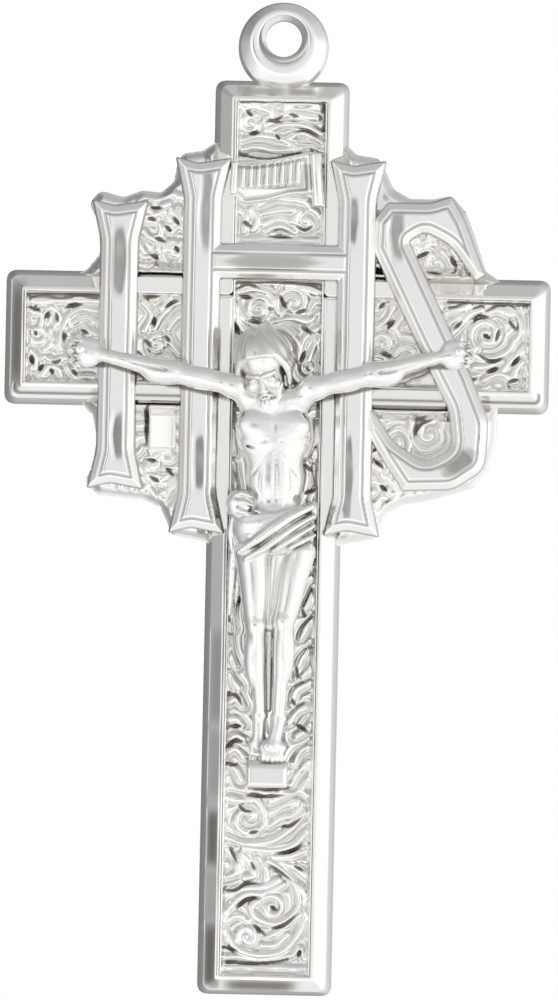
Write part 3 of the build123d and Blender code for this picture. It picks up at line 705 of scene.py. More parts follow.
SHAFT_CUTS = [
    ((-1.05, -35.82), (0, -35.86), (1.2, -35.75)), ((-1.1, -36.15), (-0.2, -36.2), (0.9, -36.1)),
    ((-1.4, -36.65), (-1.1, -36.88), (-0.7, -36.9)), ((0.6, -37.62), (1.1, -37.55), (1.7, -37.1)),
    ((-0.9, -37.95), (-0.4, -37.85)), ((0.35, -38.92), (1.1, -38.8), (1.8, -38.4)),
    ((-1.8, -38.6), (-1.6, -39.0), (-1.4, -39.4)), ((-0.75, -39.3), (-0.55, -39.7)),
    ((0.05, -39.4), (0.6, -39.75), (1.3, -40.25)), ((1.3, -39.45), (1.8, -39.7)),
    ((-2.1, -40.7), (-1.5, -40.68), (-1.0, -40.42), (-0.2, -40.35)),
    ((-1.4, -41.6), (-0.9, -41.15), (-0.2, -41.05)), ((0.3, -42.5), (0.9, -42.3), (1.6, -41.7)),
    ((-0.6, -42.3), (0.0, -42.8)), ((-2.0, -43.4), (-1.3, -43.6)), ((1.6, -43.8), (1.7, -43.5)),
    ((-1.8, -44.15), (-0.6, -44.2), (0.4, -44.1), (1.1, -43.95)), ((0.2, -41.4), (0.5, -41.6)),
    ((1.2, -32.7), (1.9, -33.1)), ((1.4, -27.2), (1.6, -27.6)), ((-2.1, -27.5), (-2.0, -27.9)),
    ((-2.0, -31.4), (-1.6, -31.4), (-1.3, -31.9)), ((-2.1, -33.9), (-1.7, -33.6), (-1.2, -33.6)),
    ((-2.1, -34.65), (-1.4, -34.72)), ((-1.9, -32.9), (-1.3, -32.85)), ((1.0, -31.5), (1.2, -31.8)),
    ((1.3, -20.3), (1.8, -20.6)), ((1.4, -21.7), (2.0, -21.5)), ((1.2, -29.9), (1.3, -30.6)),
]
SIDE_LEAVES = [
    leaf(0.16, (1.2, -22.2), (1.5, -21.2), (1.5, -20.2)),
    leaf(0.14, (1.7, -22.0), (1.95, -21.3), (1.9, -20.4)),
    leaf(0.13, (-2.1, -22.0), (-1.9, -21.4), (-2.0, -20.4)), leaf(0.13, (-2.0, -19.8), (-2.1, -18.9)),
    leaf(0.14, (1.8, -19.9), (2.05, -19.0), (1.95, -18.2)),
]
LEFT_CUTS = [
    ((-12.0, -12.45), (-10.4, -12.42), (-8.6, -12.42)), ((-12.0, -13.05), (-11.6, -13.15), (-11.3, -13.25)),
    ((-11.15, -13.6), (-10.9, -13.25)), ((-10.6, -13.3), (-10.5, -13.75)),
    ((-10.2, -13.1), (-9.8, -12.92), (-9.3, -12.9)), ((-10.2, -14.2), (-10.2, -14.7)),
    ((-9.4, -14.1), (-9.0, -14.3)), ((-11.6, -14.2), (-11.5, -14.4)), ((-11.75, -15.4), (-11.65, -15.8)),
    ((-10.8, -15.65), (-10.5, -15.65), (-10.3, -15.5)), ((-11.35, -16.1), (-11.15, -15.8)),
    ((-10.8, -16.0), (-10.7, -16.2)), ((-9.8, -16.0), (-9.5, -16.3)), ((-6.5, -12.45), (-5.6, -12.45)),
    ((-5.4, -13.0), (-5.1, -12.75), (-4.7, -12.6)), ((-5.9, -13.4), (-5.9, -13.9)),
    ((-5.4, -14.3), (-5.1, -14.6)), ((-6.3, -14.5), (-6.0, -14.9)),
]
RIGHT_CUTS = [
    ((8.1, -12.42), (10, -12.45), (11.95, -12.45)), ((9.3, -13.4), (9.6, -13.1), (10.1, -13.1)),
    ((10.6, -13.6), (10.4, -14.3)), ((9.8, -13.9), (10.1, -14.1)), ((11.0, -13.2), (11.4, -13.7)),
    ((8.4, -13.7), (8.8, -13.3)), ((9.5, -14.8), (10.2, -15.2), (10.9, -15.0)),
    ((11.2, -15.4), (11.6, -14.9)), ((10.0, -15.75), (10.6, -15.5)), ((11.0, -16.2), (11.6, -16.0)),
    ((9.0, -16.2), (9.6, -16.0)), ((5.2, -13.8), (5.6, -13.3)), ((4.8, -12.8), (5.1, -12.5)),
    ((4.9, -14.9), (5.5, -15.1)),
]
RIB_REACH = 1.5                           # how far from a stroke the ribs follow it
RIB_PITCH = 0.52


def tool_cut(route):
    """Stroke of a narrow cut: a long one keeps an even width, and a short one swells and tapers."""
    if abs(route[-1][0] - route[0][0]) > 2.5:
        return stem(0.08, *route)
    return leaf(0.1, *route)


def close_to(x, z, line, reach):
    """Which points lie in the box round a line, widened by reach."""
    low, high = line.min(0) - reach, line.max(0) + reach
    return (x > low[0]) & (x < high[0]) & (z > low[1]) & (z < high[1])


def tooled(x, z, strokes, cuts):
    """Relief over its ground, and the shade painted on it: bold strokes, ribs that follow them, and narrow
    cuts, darker between the ribs and in the cuts.
    """
    raised = stroke_height(x, z, strokes)
    near = np.full(x.shape, RIB_REACH)
    for line, _ in strokes:
        close = close_to(x, z, line, RIB_REACH)
        px, pz, best = x[close], z[close], near[close] ** 2
        for (x0, z0), (x1, z1) in zip(line[:-1:2], line[2::2]):
            dx, dz = x1 - x0, z1 - z0
            t = np.clip(((px - x0) * dx + (pz - z0) * dz) / max(dx * dx + dz * dz, 1e-9), 0, 1)
            best = np.minimum(best, (px - x0 - t * dx) ** 2 + (pz - z0 - t * dz) ** 2)
        near[close] = np.sqrt(best)
    uneven = 0.06 * np.sin(3.1 * x + 1.3 * z) * np.sin(2.6 * z - 0.9 * x)
    rib = 0.5 + 0.5 * np.cos(2 * pi * (near + uneven) / RIB_PITCH)
    front = np.maximum(0.17 * rib ** 0.7, 1.1 * raised)
    cut = stroke_height(x, z, [tool_cut(route) for route in cuts])
    # painted shade between the ribs and in the narrow cuts
    dark = 0.2 * (1 - rib) ** 2 * (1 - smooth_step(raised, 0.02, 0.12)) + smooth_step(cut, 0.02, 0.09)
    return front - 1.4 * cut, np.minimum(dark, 1)


POST_INSIDE = H_X - STROKE / 2            # the smooth strip runs up to the inner sides of the posts


def panel_height(strokes, cuts):
    """Height of a panel's front: tooled relief, coved up to the border, and a smooth strip at the posts; with
    its painted shade and the shadow painted under the arms.
    """

    def height(x, z, inside):
        front, dark = tooled(x, z, strokes, cuts)
        cove = 0.24 * (1 - smooth_step(inside, 0, 0.26))
        front += PANEL_H - 0.13 + cove + wobble(x, z)
        strip = 1 - smooth_step(np.abs(x), POST_INSIDE, POST_INSIDE + 0.1)
        strip = (np.abs(x) > shaft_high.x - 0.05) * strip
        front += (RIM_H - 0.03 - 0.12 * (1 - smooth_step(inside, 0, 0.12)) - front) * strip
        return front, np.maximum(dark * (1 - strip), 0.8 * painted_arm_shadow(x, z))

    return height


def panel(node, strokes, cuts):
    """Relief plate that fills one part of the sunk field."""
    low, high = box_mm(node)
    x0, x1, z0, z1 = low.x - 0.03, high.x + 0.03, low.z - 0.03, high.z + 0.03
    outline = rounded([(x0, z0, 0.05), (x1, z0, 0.05), (x1, z1, 0.05), (x0, z1, 0.05)])
    height = panel_height(strokes, cuts)
    relief("relief_" + node, [outline], height, FIELD_H, node, "panel_silver", relief_silver)


panel("panel_top", TOP_SCROLLS, TOP_CUTS)
panel("panel_shaft", CENTRE_SCROLLS + SIDE_LEAVES + SHAFT_SCROLLS, CENTRE_CUTS + SHAFT_CUTS)
panel("panel_left_arm", LEFT_SCROLLS, LEFT_CUTS)
panel("panel_right_arm", RIGHT_SCROLLS, RIGHT_CUTS)

# Corner webs: a sloping flank all round, then leaves in low relief, or a smooth polished ground

WEB_INNER = HALF_WIDTH - 0.45             # the webs run in under the cross's bevel
WEBS = {
    "web_upper_left": [
        (-2.9, -4.8), (-3.75, -5.4), (-4.75, -5.55), (-5.0, -6.2), (-5.1, -6.9), (-5.7, -7.45),
        (-6.6, -7.35), (-7.5, -7.7), (-8.6, -7.4), (-9.15, -8.0), (-8.7, -8.9), (-8.55, -10.4),
        (-9.2, -11.2), (-10.2, -11.6), (-10.2, ARM_Z + WEB_INNER), (-WEB_INNER, ARM_Z + WEB_INNER),
    ],
    "web_lower_left": [
        (-9.8, ARM_Z - WEB_INNER), (-9.3, -17.6), (-8.75, -18.2), (-8.55, -19.2), (-8.7, -20.5),
        (-9.1, -21.4), (-8.4, -21.95), (-6.2, -22.15), (-5.45, -22.5), (-5.1, -23.2), (-4.9, -23.8),
        (-3.9, -23.95), (-3.2, -24.1), (-2.9, -24.5), (-WEB_INNER, -24.5), (-WEB_INNER, ARM_Z - WEB_INNER),
    ],
    "web_upper_right": [
        (2.9, -4.8), (3.6, -5.45), (4.7, -5.6), (5.1, -6.4), (5.4, -7.05), (6.2, -7.5), (7.3, -7.5),
        (8.2, -7.3), (8.9, -8.1), (9.4, -9.4), (9.9, -10.9), (10.5, -11.3), (10.9, -11.6),
        (10.9, ARM_Z + WEB_INNER), (WEB_INNER, ARM_Z + WEB_INNER),
    ],
    "web_lower_right": [
        (10.6, ARM_Z - WEB_INNER), (10.6, -17.9), (10.55, -19.0), (10.2, -20.4), (9.4, -21.3),
        (7.6, -21.85), (6.1, -22.15), (5.4, -22.6), (5.1, -23.3), (4.85, -23.8), (3.9, -23.95),
        (3.2, -24.1), (2.9, -24.5), (WEB_INNER, -24.5), (WEB_INNER, ARM_Z - WEB_INNER),
    ],
}
WEB_LEAVES = {
    "web_upper_left": foliage(3, (-6.6, -11.2), (-4.6, -7.9), 34),
    "web_lower_left": foliage(5, (-6.6, -22.0), (-4.7, -19.7), 26),
    "web_upper_right": foliage(7, (4.6, -11.3), (8.9, -9.4), 44) + [curl(7.5, -10.6, 0.5, 150, 330, 0.13)],
    "web_lower_right": foliage(9, (4.4, -22.2), (5.9, -19.0), 18) + [
        curl(7.35, -18.75, 0.62, 70, 260, 0.17), stem(0.07, (5.2, -17.3), (7.6, -17.3))],
}
WEB_CUTS = {
    "web_upper_left": [
        ((-6.3, -8.7), (-5.9, -8.75)), ((-5.1, -8.6), (-4.8, -9.0)), ((-6.0, -9.6), (-5.4, -9.8)),
        ((-5.0, -10.0), (-4.8, -10.3)), ((-6.2, -10.4), (-5.8, -10.6)), ((-5.5, -9.0), (-5.2, -9.3)),
        ((-6.2, -8.2), (-5.6, -8.2)),
    ],
    "web_lower_left": [
        ((-6.15, -17.4), (-6.15, -19.6)), ((-6.2, -20.2), (-5.6, -20.3)), ((-5.2, -20.6), (-4.8, -21.0)),
        ((-6.0, -21.0), (-5.5, -21.3)),
    ],
    "web_upper_right": [
        ((6.6, -10.3), (7.2, -10.0)), ((7.0, -11.0), (7.8, -11.1)), ((8.2, -10.2), (8.5, -10.8)),
        ((4.9, -10.9), (5.2, -11.2)),
    ],
    "web_lower_right": [
        ((5.0, -17.05), (6.4, -17.0), (7.7, -17.05)), ((6.6, -18.9), (6.9, -18.3), (7.6, -18.0)),
        ((4.7, -20.0), (5.2, -20.4)), ((5.0, -21.2), (5.4, -21.5)),
    ],
}
# Polished patch beside the waist: x, z, half sizes and rise
SMOOTH_GROUND = {"web_lower_left": (-5.4, -18.4, 0.68, 1.3, 0.42)}


def web_height(node):
    """Height of a web's front: a sloping flank, then tooled relief that is coved up to the cross; with its
    painted shade and the shadow painted under the arms.
    """

    def height(x, z, inside):
        flank = WEB_H * 0.5 + WEB_H * 0.52 * smooth_step(inside, 0.0, 0.38)
        raised, dark = tooled(x, z, WEB_LEAVES[node], WEB_CUTS[node])
        inner = smooth_step(inside, 0.25, 0.45)
        if node in SMOOTH_GROUND:
            cx, cz, half_x, half_z, rise = SMOOTH_GROUND[node]
            edge = np.maximum(np.abs(x - cx) - half_x, np.abs(z - cz) - half_z)
            patch = 1 - smooth_step(edge, -0.08, 0.04)
            raised, dark = raised + (rise + 0.25 * (cx - x) - raised) * patch, dark * (1 - patch)
        beside = np.minimum(np.abs(x), np.abs(z - ARM_Z)) - HALF_WIDTH
        cove = 0.75 * (1 - smooth_step(beside, -0.05, 0.5)) * inner
        front = np.minimum(flank, WEB_H) + (raised - 0.04) * inner + cove + wobble(x, z)
        return front, np.maximum(dark * inner, 0.9 * painted_arm_shadow(x, z))

    return height


for node, outline in WEBS.items():
    loop = rounded([(x, z, 0.45) for x, z in outline])
    relief("relief_" + node, [loop], web_height(node), 0.03, node, "web_silver", relief_silver)

# --------------------------------------------------------------------------- inscription scroll

TITULUS_H = BACK - box_mm("titulus_scroll")[0].y
LEAF = [
    (-2.3, -5.95, 0.2), (-1.2, -5.95, 1), (0, -5.75, 1), (1.35, -5.45, 0.1), (1.5, -7.45, 0.1),
    (0.4, -7.55, 1), (-0.6, -7.85, 1), (-1.75, -8.0, 0.3), (-2.45, -7.4, 0.4), (-2.4, -6.7, 0.6),
]
REEDS = [(-1.8 + 0.37 * k, -7.15 + 0.04 * k, -6.25 + 0.055 * k) for k in range(8)]   # x, bottom, top


def leaf_height(x, z, inside):
    """A gently waved leaf with a soft rim, and a row of even reeds in place of lettering; with painted shade
    in the hem groove and between the reeds.
    """
    wave = 0.1 * np.sin(1.5 * x + 0.4) - 0.25 * smooth_step(-z, 7.2, 8.0)
    rim = 0.08 * np.exp(-((inside - 0.12) / 0.08) ** 2)
    reeds = stroke_height(x, z, [stem(0.11, (cx, bottom), (cx + 0.03, top)) for cx, bottom, top in REEDS])
    edge = 0.1 * np.sqrt(smooth_step(inside, 0, 0.1))
    front = TITULUS_H - 0.32 + wave + rim + reeds * 1.2 + edge
    hem = np.exp(-((inside - 0.26) / 0.06) ** 2)
    row = smooth_step(z, -7.35, -7.15) * (1 - smooth_step(z, -6.1, -5.95))
    beside = row * (1 - smooth_step(reeds, 0.01, 0.08))
    # painted shade in the hem groove and between the reeds
    return front - 0.05 * hem, np.minimum(0.5 * hem + 0.35 * beside, 1)


relief("scroll_leaf", [rounded(LEAF)], leaf_height, PANEL_H - 0.1, "titulus_scroll", "scroll_silver",
       relief_silver)


# Stations along a roll: share of its length, and share of its radius
ROLL = [(0, 0.3), (0, 0.62), (-0.02, 0.9), (0.03, 1), (0.5, 0.94), (0.97, 1), (1.02, 0.9), (1, 0.62),
        (1, 0.3)]


def roll(name, top, bottom, radius, height):
    """Rolled end of the scroll: a round bar between two points (x, z) with a lip wound round it."""
    rings = []
    turn = np.linspace(0, 2 * pi, 40, endpoint=False)
    lip = 1 - 0.14 * np.exp(-((turn - 3.6) / 0.22) ** 2)
    for share, size in ROLL:
        x, z = (p + (q - p) * share for p, q in zip(top, bottom))
        across = radius * size * lip * np.cos(turn)
        rise = radius * size * lip * np.sin(turn)
        rings.append(np.column_stack([x + across, np.full(len(turn), z), height + rise]))
    sweep(name, rings, "titulus_scroll", "scroll_silver", bright)


roll("scroll_roll_right", (1.62, -5.5), (1.8, -8.0), 0.3, TITULUS_H - 0.28)
roll("scroll_roll_left", (-2.2, -6.0), (-2.25, -7.5), 0.17, TITULUS_H - 0.2)

# --------------------------------------------------------------------------- corpus


class Carving:
    """Signed distance on a grid over (x, z, height), negative inside, shaped by smooth joins and cuts.

    A form is a distance function with the lowest and highest corner of the box that holds it.
    """

    def __init__(self, low, high, step):
        self.low, self.step = np.array(low, float), step
        self.axes = [np.arange(a, b, step, dtype=np.float32) for a, b in zip(low, high)]
        self.field = np.full([len(axis) for axis in self.axes], 3.0, np.float32)

    def part(self, low, high):
        """Slices and coordinates of the grid points between two corners."""
        cuts = []
        for axis, start, stop in zip(self.axes, low, high):
            cuts.append(slice(*np.searchsorted(axis, [start, stop])))
        x, z, h = (axis[cut] for axis, cut in zip(self.axes, cuts))
        return tuple(cuts), x[:, None, None], z[None, :, None], h[None, None, :]

    def apply(self, form, blend=0.1, mode="join"):
        """Joins a form to the carving, or cuts it away, with a soft seam of the given blend."""
        distance, low, high = form
        reach = blend + 2 * self.step + (0.5 if mode == "join" else 0.1)
        cuts, x, z, h = self.part(np.array(low) - reach, np.array(high) + reach)
        old, new = self.field[cuts], distance(x, z, h)
        if mode == "join":
            share = np.clip(0.5 + 0.5 * (old - new) / blend, 0, 1)
            self.field[cuts] = old + (new - old) * share - blend * share * (1 - share)
        else:
            share = np.clip(0.5 - 0.5 * (old + new) / blend, 0, 1)
            self.field[cuts] = old + (-new - old) * share + blend * share * (1 - share)


def ball(centre, radii, turn=None):
    """Ellipsoid; turn holds its three axes as columns."""
    centre, radii = np.array(centre, float), np.array(radii, float)
    axes = np.eye(3) if turn is None else turn

    def distance(x, z, h):
        offset = [x - centre[0], z - centre[1], h - centre[2]]
        local = [sum(axes[k, i] * offset[k] for k in range(3)) for i in range(3)]
        scaled = np.sqrt(sum((local[i] / radii[i]) ** 2 for i in range(3))) + 1e-6
        steep = np.sqrt(sum((local[i] / radii[i] ** 2) ** 2 for i in range(3))) + 1e-6
        return (scaled * (scaled - 1) / steep).astype(np.float32)

    reach = np.abs(axes) @ radii
    return distance, centre - reach, centre + reach


def limb(start, stop, r0, r1):
    """Tapered round bar between two points."""
    start, stop = np.array(start, float), np.array(stop, float)
    along = stop - start

    def distance(x, z, h):
        offset = [x - start[0], z - start[1], h - start[2]]
        t = np.clip(sum(o * a for o, a in zip(offset, along)) / (along @ along), 0, 1)
        away = np.sqrt(sum((o - t * a) ** 2 for o, a in zip(offset, along)))
        return (away - r0 - (r1 - r0) * t).astype(np.float32)

    reach = max(r0, r1)
    return distance, np.minimum(start, stop) - reach, np.maximum(start, stop) + reach


def rope(route, radii, blend=0.08, mode="join"):
    """Joins to the figure, or cuts from it, a chain of tapered bars along points (x, z, height)."""
    route = np.array(route, float)
    t = np.linspace(0, len(route) - 1, 5 * (len(route) - 1) + 1)
    flat = flowing(route[:, :2], 5)
    heights = np.interp(t, range(len(route)), route[:, 2])
    widths = np.interp(t, np.linspace(0, len(route) - 1, len(radii)), radii)
    points = [(*place, height) for place, height in zip(flat, heights)]
    for start, stop, r0, r1 in zip(points, points[1:], widths, widths[1:]):
        carve(limb(start, stop, r0, r1), blend, mode)


def surface(carving):
    """Points (x, z, height) and four-sided faces of the carving's zero surface."""
    field = carving.field
    inside = field < 0
    shape = np.array(field.shape) - 1
    corners = [(i, j, k) for i in (0, 1) for j in (0, 1) for k in (0, 1)]

    def corner(array, c):
        return array[c[0]:c[0] + shape[0], c[1]:c[1] + shape[1], c[2]:c[2] + shape[2]]

    count = sum(corner(inside, c).astype(np.int8) for c in corners)
    active = (count > 0) & (count < 8)
    number = np.full(tuple(shape), -1, np.int64)
    number[active] = np.arange(active.sum())
    cells = np.argwhere(active)
    total, crossings = np.zeros((len(cells), 3)), np.zeros(len(cells))
    values = {c: corner(field, c)[active] for c in corners}
    for c in corners:
        for axis in range(3):
            if c[axis]:
                continue
            other = tuple(1 if i == axis else c[i] for i in range(3))
            v0, v1 = values[c], values[other]
            cross = (v0 < 0) != (v1 < 0)
            t = v0[cross] / (v0[cross] - v1[cross])
            point = np.tile(np.array(c, float), (cross.sum(), 1))
            point[:, axis] = t
            total[cross] += point
            crossings[cross] += 1
    points = carving.low + (cells + total / crossings[:, None]) * carving.step
    faces = []
    for axis in range(3):
        u, v = [i for i in range(3) if i != axis]
        first = [slice(None)] * 3
        second = [slice(None)] * 3
        first[axis], second[axis] = slice(0, -1), slice(1, None)
        leaving = inside[tuple(first)]
        where = np.argwhere(leaving != inside[tuple(second)])
        where = where[(where[:, [u, v]] > 0).all(1) & (where[:, [u, v]] < shape[[u, v]]).all(1)]
        quad = []
        for du, dv in ((1, 1), (0, 1), (0, 0), (1, 0)):
            cell = where.copy()
            cell[:, u] -= du
            cell[:, v] -= dv
            quad.append(number[tuple(cell.T)])
        quad = np.stack(quad, 1)
        flip = leaving[tuple(where.T)] ^ (axis == 1)
        quad[flip] = quad[flip][:, ::-1]
        faces.append(quad)
    return points, np.concatenate(faces)


def relax(points, faces, rounds):
    """Evens out the points of a mesh; each round moves them together and then apart, so it hardly shrinks."""
    edges = np.concatenate([faces[:, [0, 1]], faces[:, [1, 2]], faces[:, [2, 3]], faces[:, [3, 0]]])
    degree = np.bincount(edges.ravel(), minlength=len(points))[:, None]
    for k in range(2 * rounds):
        total = np.zeros_like(points)
        np.add.at(total, edges[:, 0], points[edges[:, 1]])
        np.add.at(total, edges[:, 1], points[edges[:, 0]])
        points = points + (0.5 if k % 2 == 0 else -0.52) * (total / degree - points)
    return points


def hollow_shade(carving, points, faces, reach=0.22):
    """How enclosed each point is, 0 in the open to 1 in a fold, from the field a short way outside it."""
    a, b, c = points[faces[:, 0]], points[faces[:, 1]], points[faces[:, 2]]
    across = np.cross(b - a, c - a)
    normal = np.zeros_like(points)
    for k in range(4):
        np.add.at(normal, faces[:, k], across)
    normal /= np.maximum(np.linalg.norm(normal, axis=1, keepdims=True), 1e-12)
    best = np.zeros(len(points))
    for side in (1, -1):
        cell = np.round((points + side * reach * normal - carving.low) / carving.step).astype(int)
        cell = np.clip(cell, 0, np.array(carving.field.shape) - 1)
        best = np.maximum(best, carving.field[tuple(cell.T)])
    return np.clip(1 - best / reach, 0, 1)


def turned(lean, bow, turn):
    """Axes of the head, across, up and forwards: turned about its own axis, bowed, then leant sideways."""
    cy, sy, cp, sp, cl, sl = cos(turn), sin(turn), cos(bow), sin(bow), cos(lean), sin(lean)
    across, up, front = np.array([cy, 0, -sy]), np.array([0, 1, 0]), np.array([sy, 0, cy])
    bowed = np.array([[1, 0, 0], [0, cp, -sp], [0, sp, cp]])
    leant = np.array([[cl, -sl, 0], [sl, cl, 0], [0, 0, 1]])
    return np.column_stack([leant @ bowed @ v for v in (across, up, front)])


BODY = Carving((-10.3, -35.0, 1.1), (9.7, -13.6, 4.45), GRID_STEP)
carve = BODY.apply
HEAD_AT, HEAD_SIZE = np.array([-0.62, -15.8, 2.66]), 1.8
HEAD_AXES = turned(radians(15), radians(24), radians(-12))


def on_head(across, up, front):
    """Place on the head, in units of half its length."""
    return HEAD_AT + HEAD_AXES @ (np.array([across, up, front]) * HEAD_SIZE)


def head_ball(place, radii):
    return ball(on_head(*place), np.array(radii) * HEAD_SIZE, HEAD_AXES)


def head_limb(start, stop, r0, r1):
    return limb(on_head(*start), on_head(*stop), r0 * HEAD_SIZE, r1 * HEAD_SIZE)


def make_torso():
    carve(ball((-0.12, -18.75, 2.3), (1.78, 2.0, 0.98)))
    carve(limb((-1.4, -17.2, 2.5), (1.2, -17.2, 2.5), 0.56, 0.56), 0.4)
    carve(ball((0.0, -21.0, 2.25), (1.4, 1.95, 0.9)), 0.4)
    carve(ball((-0.05, -23.3, 2.3), (1.8, 1.35, 0.95)), 0.4)
    for x in (-0.9, 0.7):
        carve(ball((x, -18.5, 2.84), (0.9, 0.68, 0.42)), 0.22)
    carve(ball((-0.1, -17.6, 2.85), (0.9, 0.35, 0.3)), 0.2)
    carve(limb((-0.1, -18.0, 3.42), (-0.08, -19.2, 3.38), 0.05, 0.05), 0.16, "cut")
    for side in (-1, 1):
        arch = [(-0.06 + 0.05 * side, -19.55, 3.3), (0.55 * side, -20.1, 3.2), (1.15 * side, -20.9, 2.85)]
        rope(arch, [0.02, 0.045, 0.02], 0.14, "cut")
        for k in range(3):
            z = -19.6 - 0.42 * k
            rib = [(1.0 * side, z - 0.02, 3.05), (1.38 * side, z + 0.14, 2.78), (1.7 * side, z + 0.34, 2.35)]
            rope(rib, [0.02, 0.035, 0.02], 0.08, "cut")
        rope([(0.62 * side, -20.5, 3.1), (0.72 * side, -21.4, 3.05), (0.5 * side, -22.4, 3.0)],
             [0.01, 0.03, 0.01], 0.14, "cut")
        middle = 0.78 * side - 0.1
        fold = [(middle - 0.5, -19.2, 3.22), (middle, -19.36, 3.24), (middle + 0.5, -19.2, 3.22)]
        rope(fold, [0.01, 0.03, 0.01], 0.08, "cut")
        carve(limb((0.4 * side - 0.1, -17.35, 3.02), (1.5 * side - 0.1, -17.1, 2.88), 0.09, 0.09), 0.15)
    rope([(0, -19.9, 3.24), (0.02, -21.0, 3.17), (0.02, -22.2, 3.1)], [0.01, 0.025, 0.01], 0.18, "cut")
    carve(ball((0.02, -21.8, 3.13), (0.07, 0.1, 0.09)), 0.05, "cut")
    carve(limb((-0.25, -17.5, 2.6), (-0.45, -16.6, 2.7), 0.6, 0.55), 0.25)
    for side in (-1, 1):
        carve(limb((-0.15 + 0.1 * side, -17.5, 3.0), (-0.5 + 0.55 * side, -16.8, 2.85), 0.12, 0.15), 0.12)


def make_arm(side, shoulder, elbow, wrist, palm):
    h = 2.62
    carve(ball((shoulder[0], shoulder[1], 2.7), (0.72, 0.62, 0.52)), 0.3)
    carve(limb((*shoulder, h), (*elbow, h), 0.48, 0.54), 0.25)
    middle = [(p + q) / 2 for p, q in zip(shoulder, elbow)]
    carve(ball((middle[0] + 0.2 * side, middle[1] + 0.14, h + 0.12), (0.95, 0.36, 0.34)), 0.18)
    carve(ball((middle[0] - 0.1 * side, middle[1] - 0.2, h), (0.9, 0.32, 0.38)), 0.18)
    carve(limb((*elbow, h), (*wrist, h), 0.54, 0.31), 0.2)
    carve(ball((elbow[0] + 0.4 * side, elbow[1] - 0.04, h + 0.06), (1.0, 0.6, 0.44)), 0.22)
    carve(ball((elbow[0] - 0.05 * side, elbow[1] - 0.28, h - 0.05), (0.3, 0.24, 0.24)), 0.14)
    rope([(elbow[0] + 0.1 * side, elbow[1] + 0.02, h + 0.5),
                (elbow[0] + 1.1 * side, elbow[1] + 0.2, h + 0.5),
                ((elbow[0] + wrist[0]) / 2 + 0.6 * side, (elbow[1] + wrist[1]) / 2 + 0.1, h + 0.4)],
         [0.02, 0.05, 0.02], 0.12, "cut")
    rise = atan2(palm[1] - wrist[1], abs(palm[0] - wrist[0]))
    carve(limb((*wrist, h), (*palm, h + 0.02), 0.3, 0.33), 0.12)
    carve(ball((*palm, h + 0.04), (0.7, 0.74, 0.32)), 0.16)
    for k, lift in enumerate((0.48, 0.17, -0.15, -0.46)):
        root = (palm[0] + 0.4 * side, palm[1] + lift, h + 0.1)
        reach = (0.72 - 0.05 * abs(k - 1)) * side
        knuckle = (palm[0] + reach, palm[1] + 1.2 * lift + 0.1 * sin(rise), h + 0.22)
        tip = (palm[0] + (0.66 - 0.05 * k) * side, palm[1] + 1.15 * lift, h + 0.36)
        carve(limb(root, knuckle, 0.125, 0.11), 0.05)
        carve(limb(knuckle, tip, 0.11, 0.085), 0.03)
    thumb_root = (palm[0] - 0.1 * side, palm[1] + 0.34, h + 0.08)
    thumb_joint = (palm[0] + 0.3 * side, palm[1] + 0.56, h + 0.18)
    thumb_tip = (palm[0] + 0.55 * side, palm[1] + 0.5, h + 0.24)
    carve(limb(thumb_root, thumb_joint, 0.13, 0.1), 0.06)
    carve(limb(thumb_joint, thumb_tip, 0.1, 0.08), 0.04)


def make_leg(hip, knee, ankle, calf_side, kneecap, hip_radius):
    carve(limb(hip, knee, hip_radius, 0.52), 0.25)
    thigh = ((hip[0] + knee[0]) / 2 - 0.08 * calf_side, (hip[1] + knee[1]) / 2, hip[2] + 0.22)
    carve(ball(thigh, (0.52, 1.5, 0.5)), 0.3)
    carve(limb(knee, ankle, 0.47, 0.3), 0.2)
    carve(ball((knee[0] + 0.1 * calf_side, knee[1] - 1.5, knee[2] - 0.2), (0.47, 1.3, 0.5)), 0.3)
    shin_top = (knee[0], knee[1] - 0.5, knee[2] + 0.32)
    carve(limb(shin_top, (ankle[0], ankle[1] + 0.4, ankle[2] + 0.2), 0.12, 0.08), 0.2)
    carve(ball((knee[0], knee[1], knee[2] + 0.27), (0.36, 0.42, 0.28)), 0.14)
    rope([(knee[0] - 0.36, knee[1] - 0.25, kneecap), (knee[0], knee[1] - 0.36, kneecap + 0.1),
                (knee[0] + 0.36, knee[1] - 0.25, kneecap)], [0.01, 0.04, 0.01], 0.07, "cut")
    for side in (-1, 1):
        carve(ball((ankle[0] + 0.26 * side, ankle[1] + 0.02, ankle[2] + 0.02), (0.11, 0.16, 0.15)), 0.14)


def make_foot(heel, ball_of_foot, spread, toe_z):
    carve(limb(heel, ball_of_foot, 0.32, 0.34), 0.15)
    carve(ball(ball_of_foot, (0.2 + spread, 0.42, 0.3)), 0.15)
    for k in range(5):
        share = k / 4 - 0.5
        x = ball_of_foot[0] + 1.7 * spread * share
        root = (x, ball_of_foot[1] - 0.1, ball_of_foot[2] + 0.06)
        tip = (x + 0.1 * share, toe_z + 0.1 * abs(share), ball_of_foot[2] - 0.02)
        carve(limb(root, tip, 0.12, 0.105 + 0.03 * (k == 4)), 0.03)
    for k in range(4):
        x = ball_of_foot[0] + 1.7 * spread * ((k + 0.5) / 4 - 0.5)
        rope([(x, ball_of_foot[1] - 0.12, ball_of_foot[2] + 0.24), (x, toe_z, ball_of_foot[2] + 0.14)],
             [0.02, 0.035], 0.04, "cut")


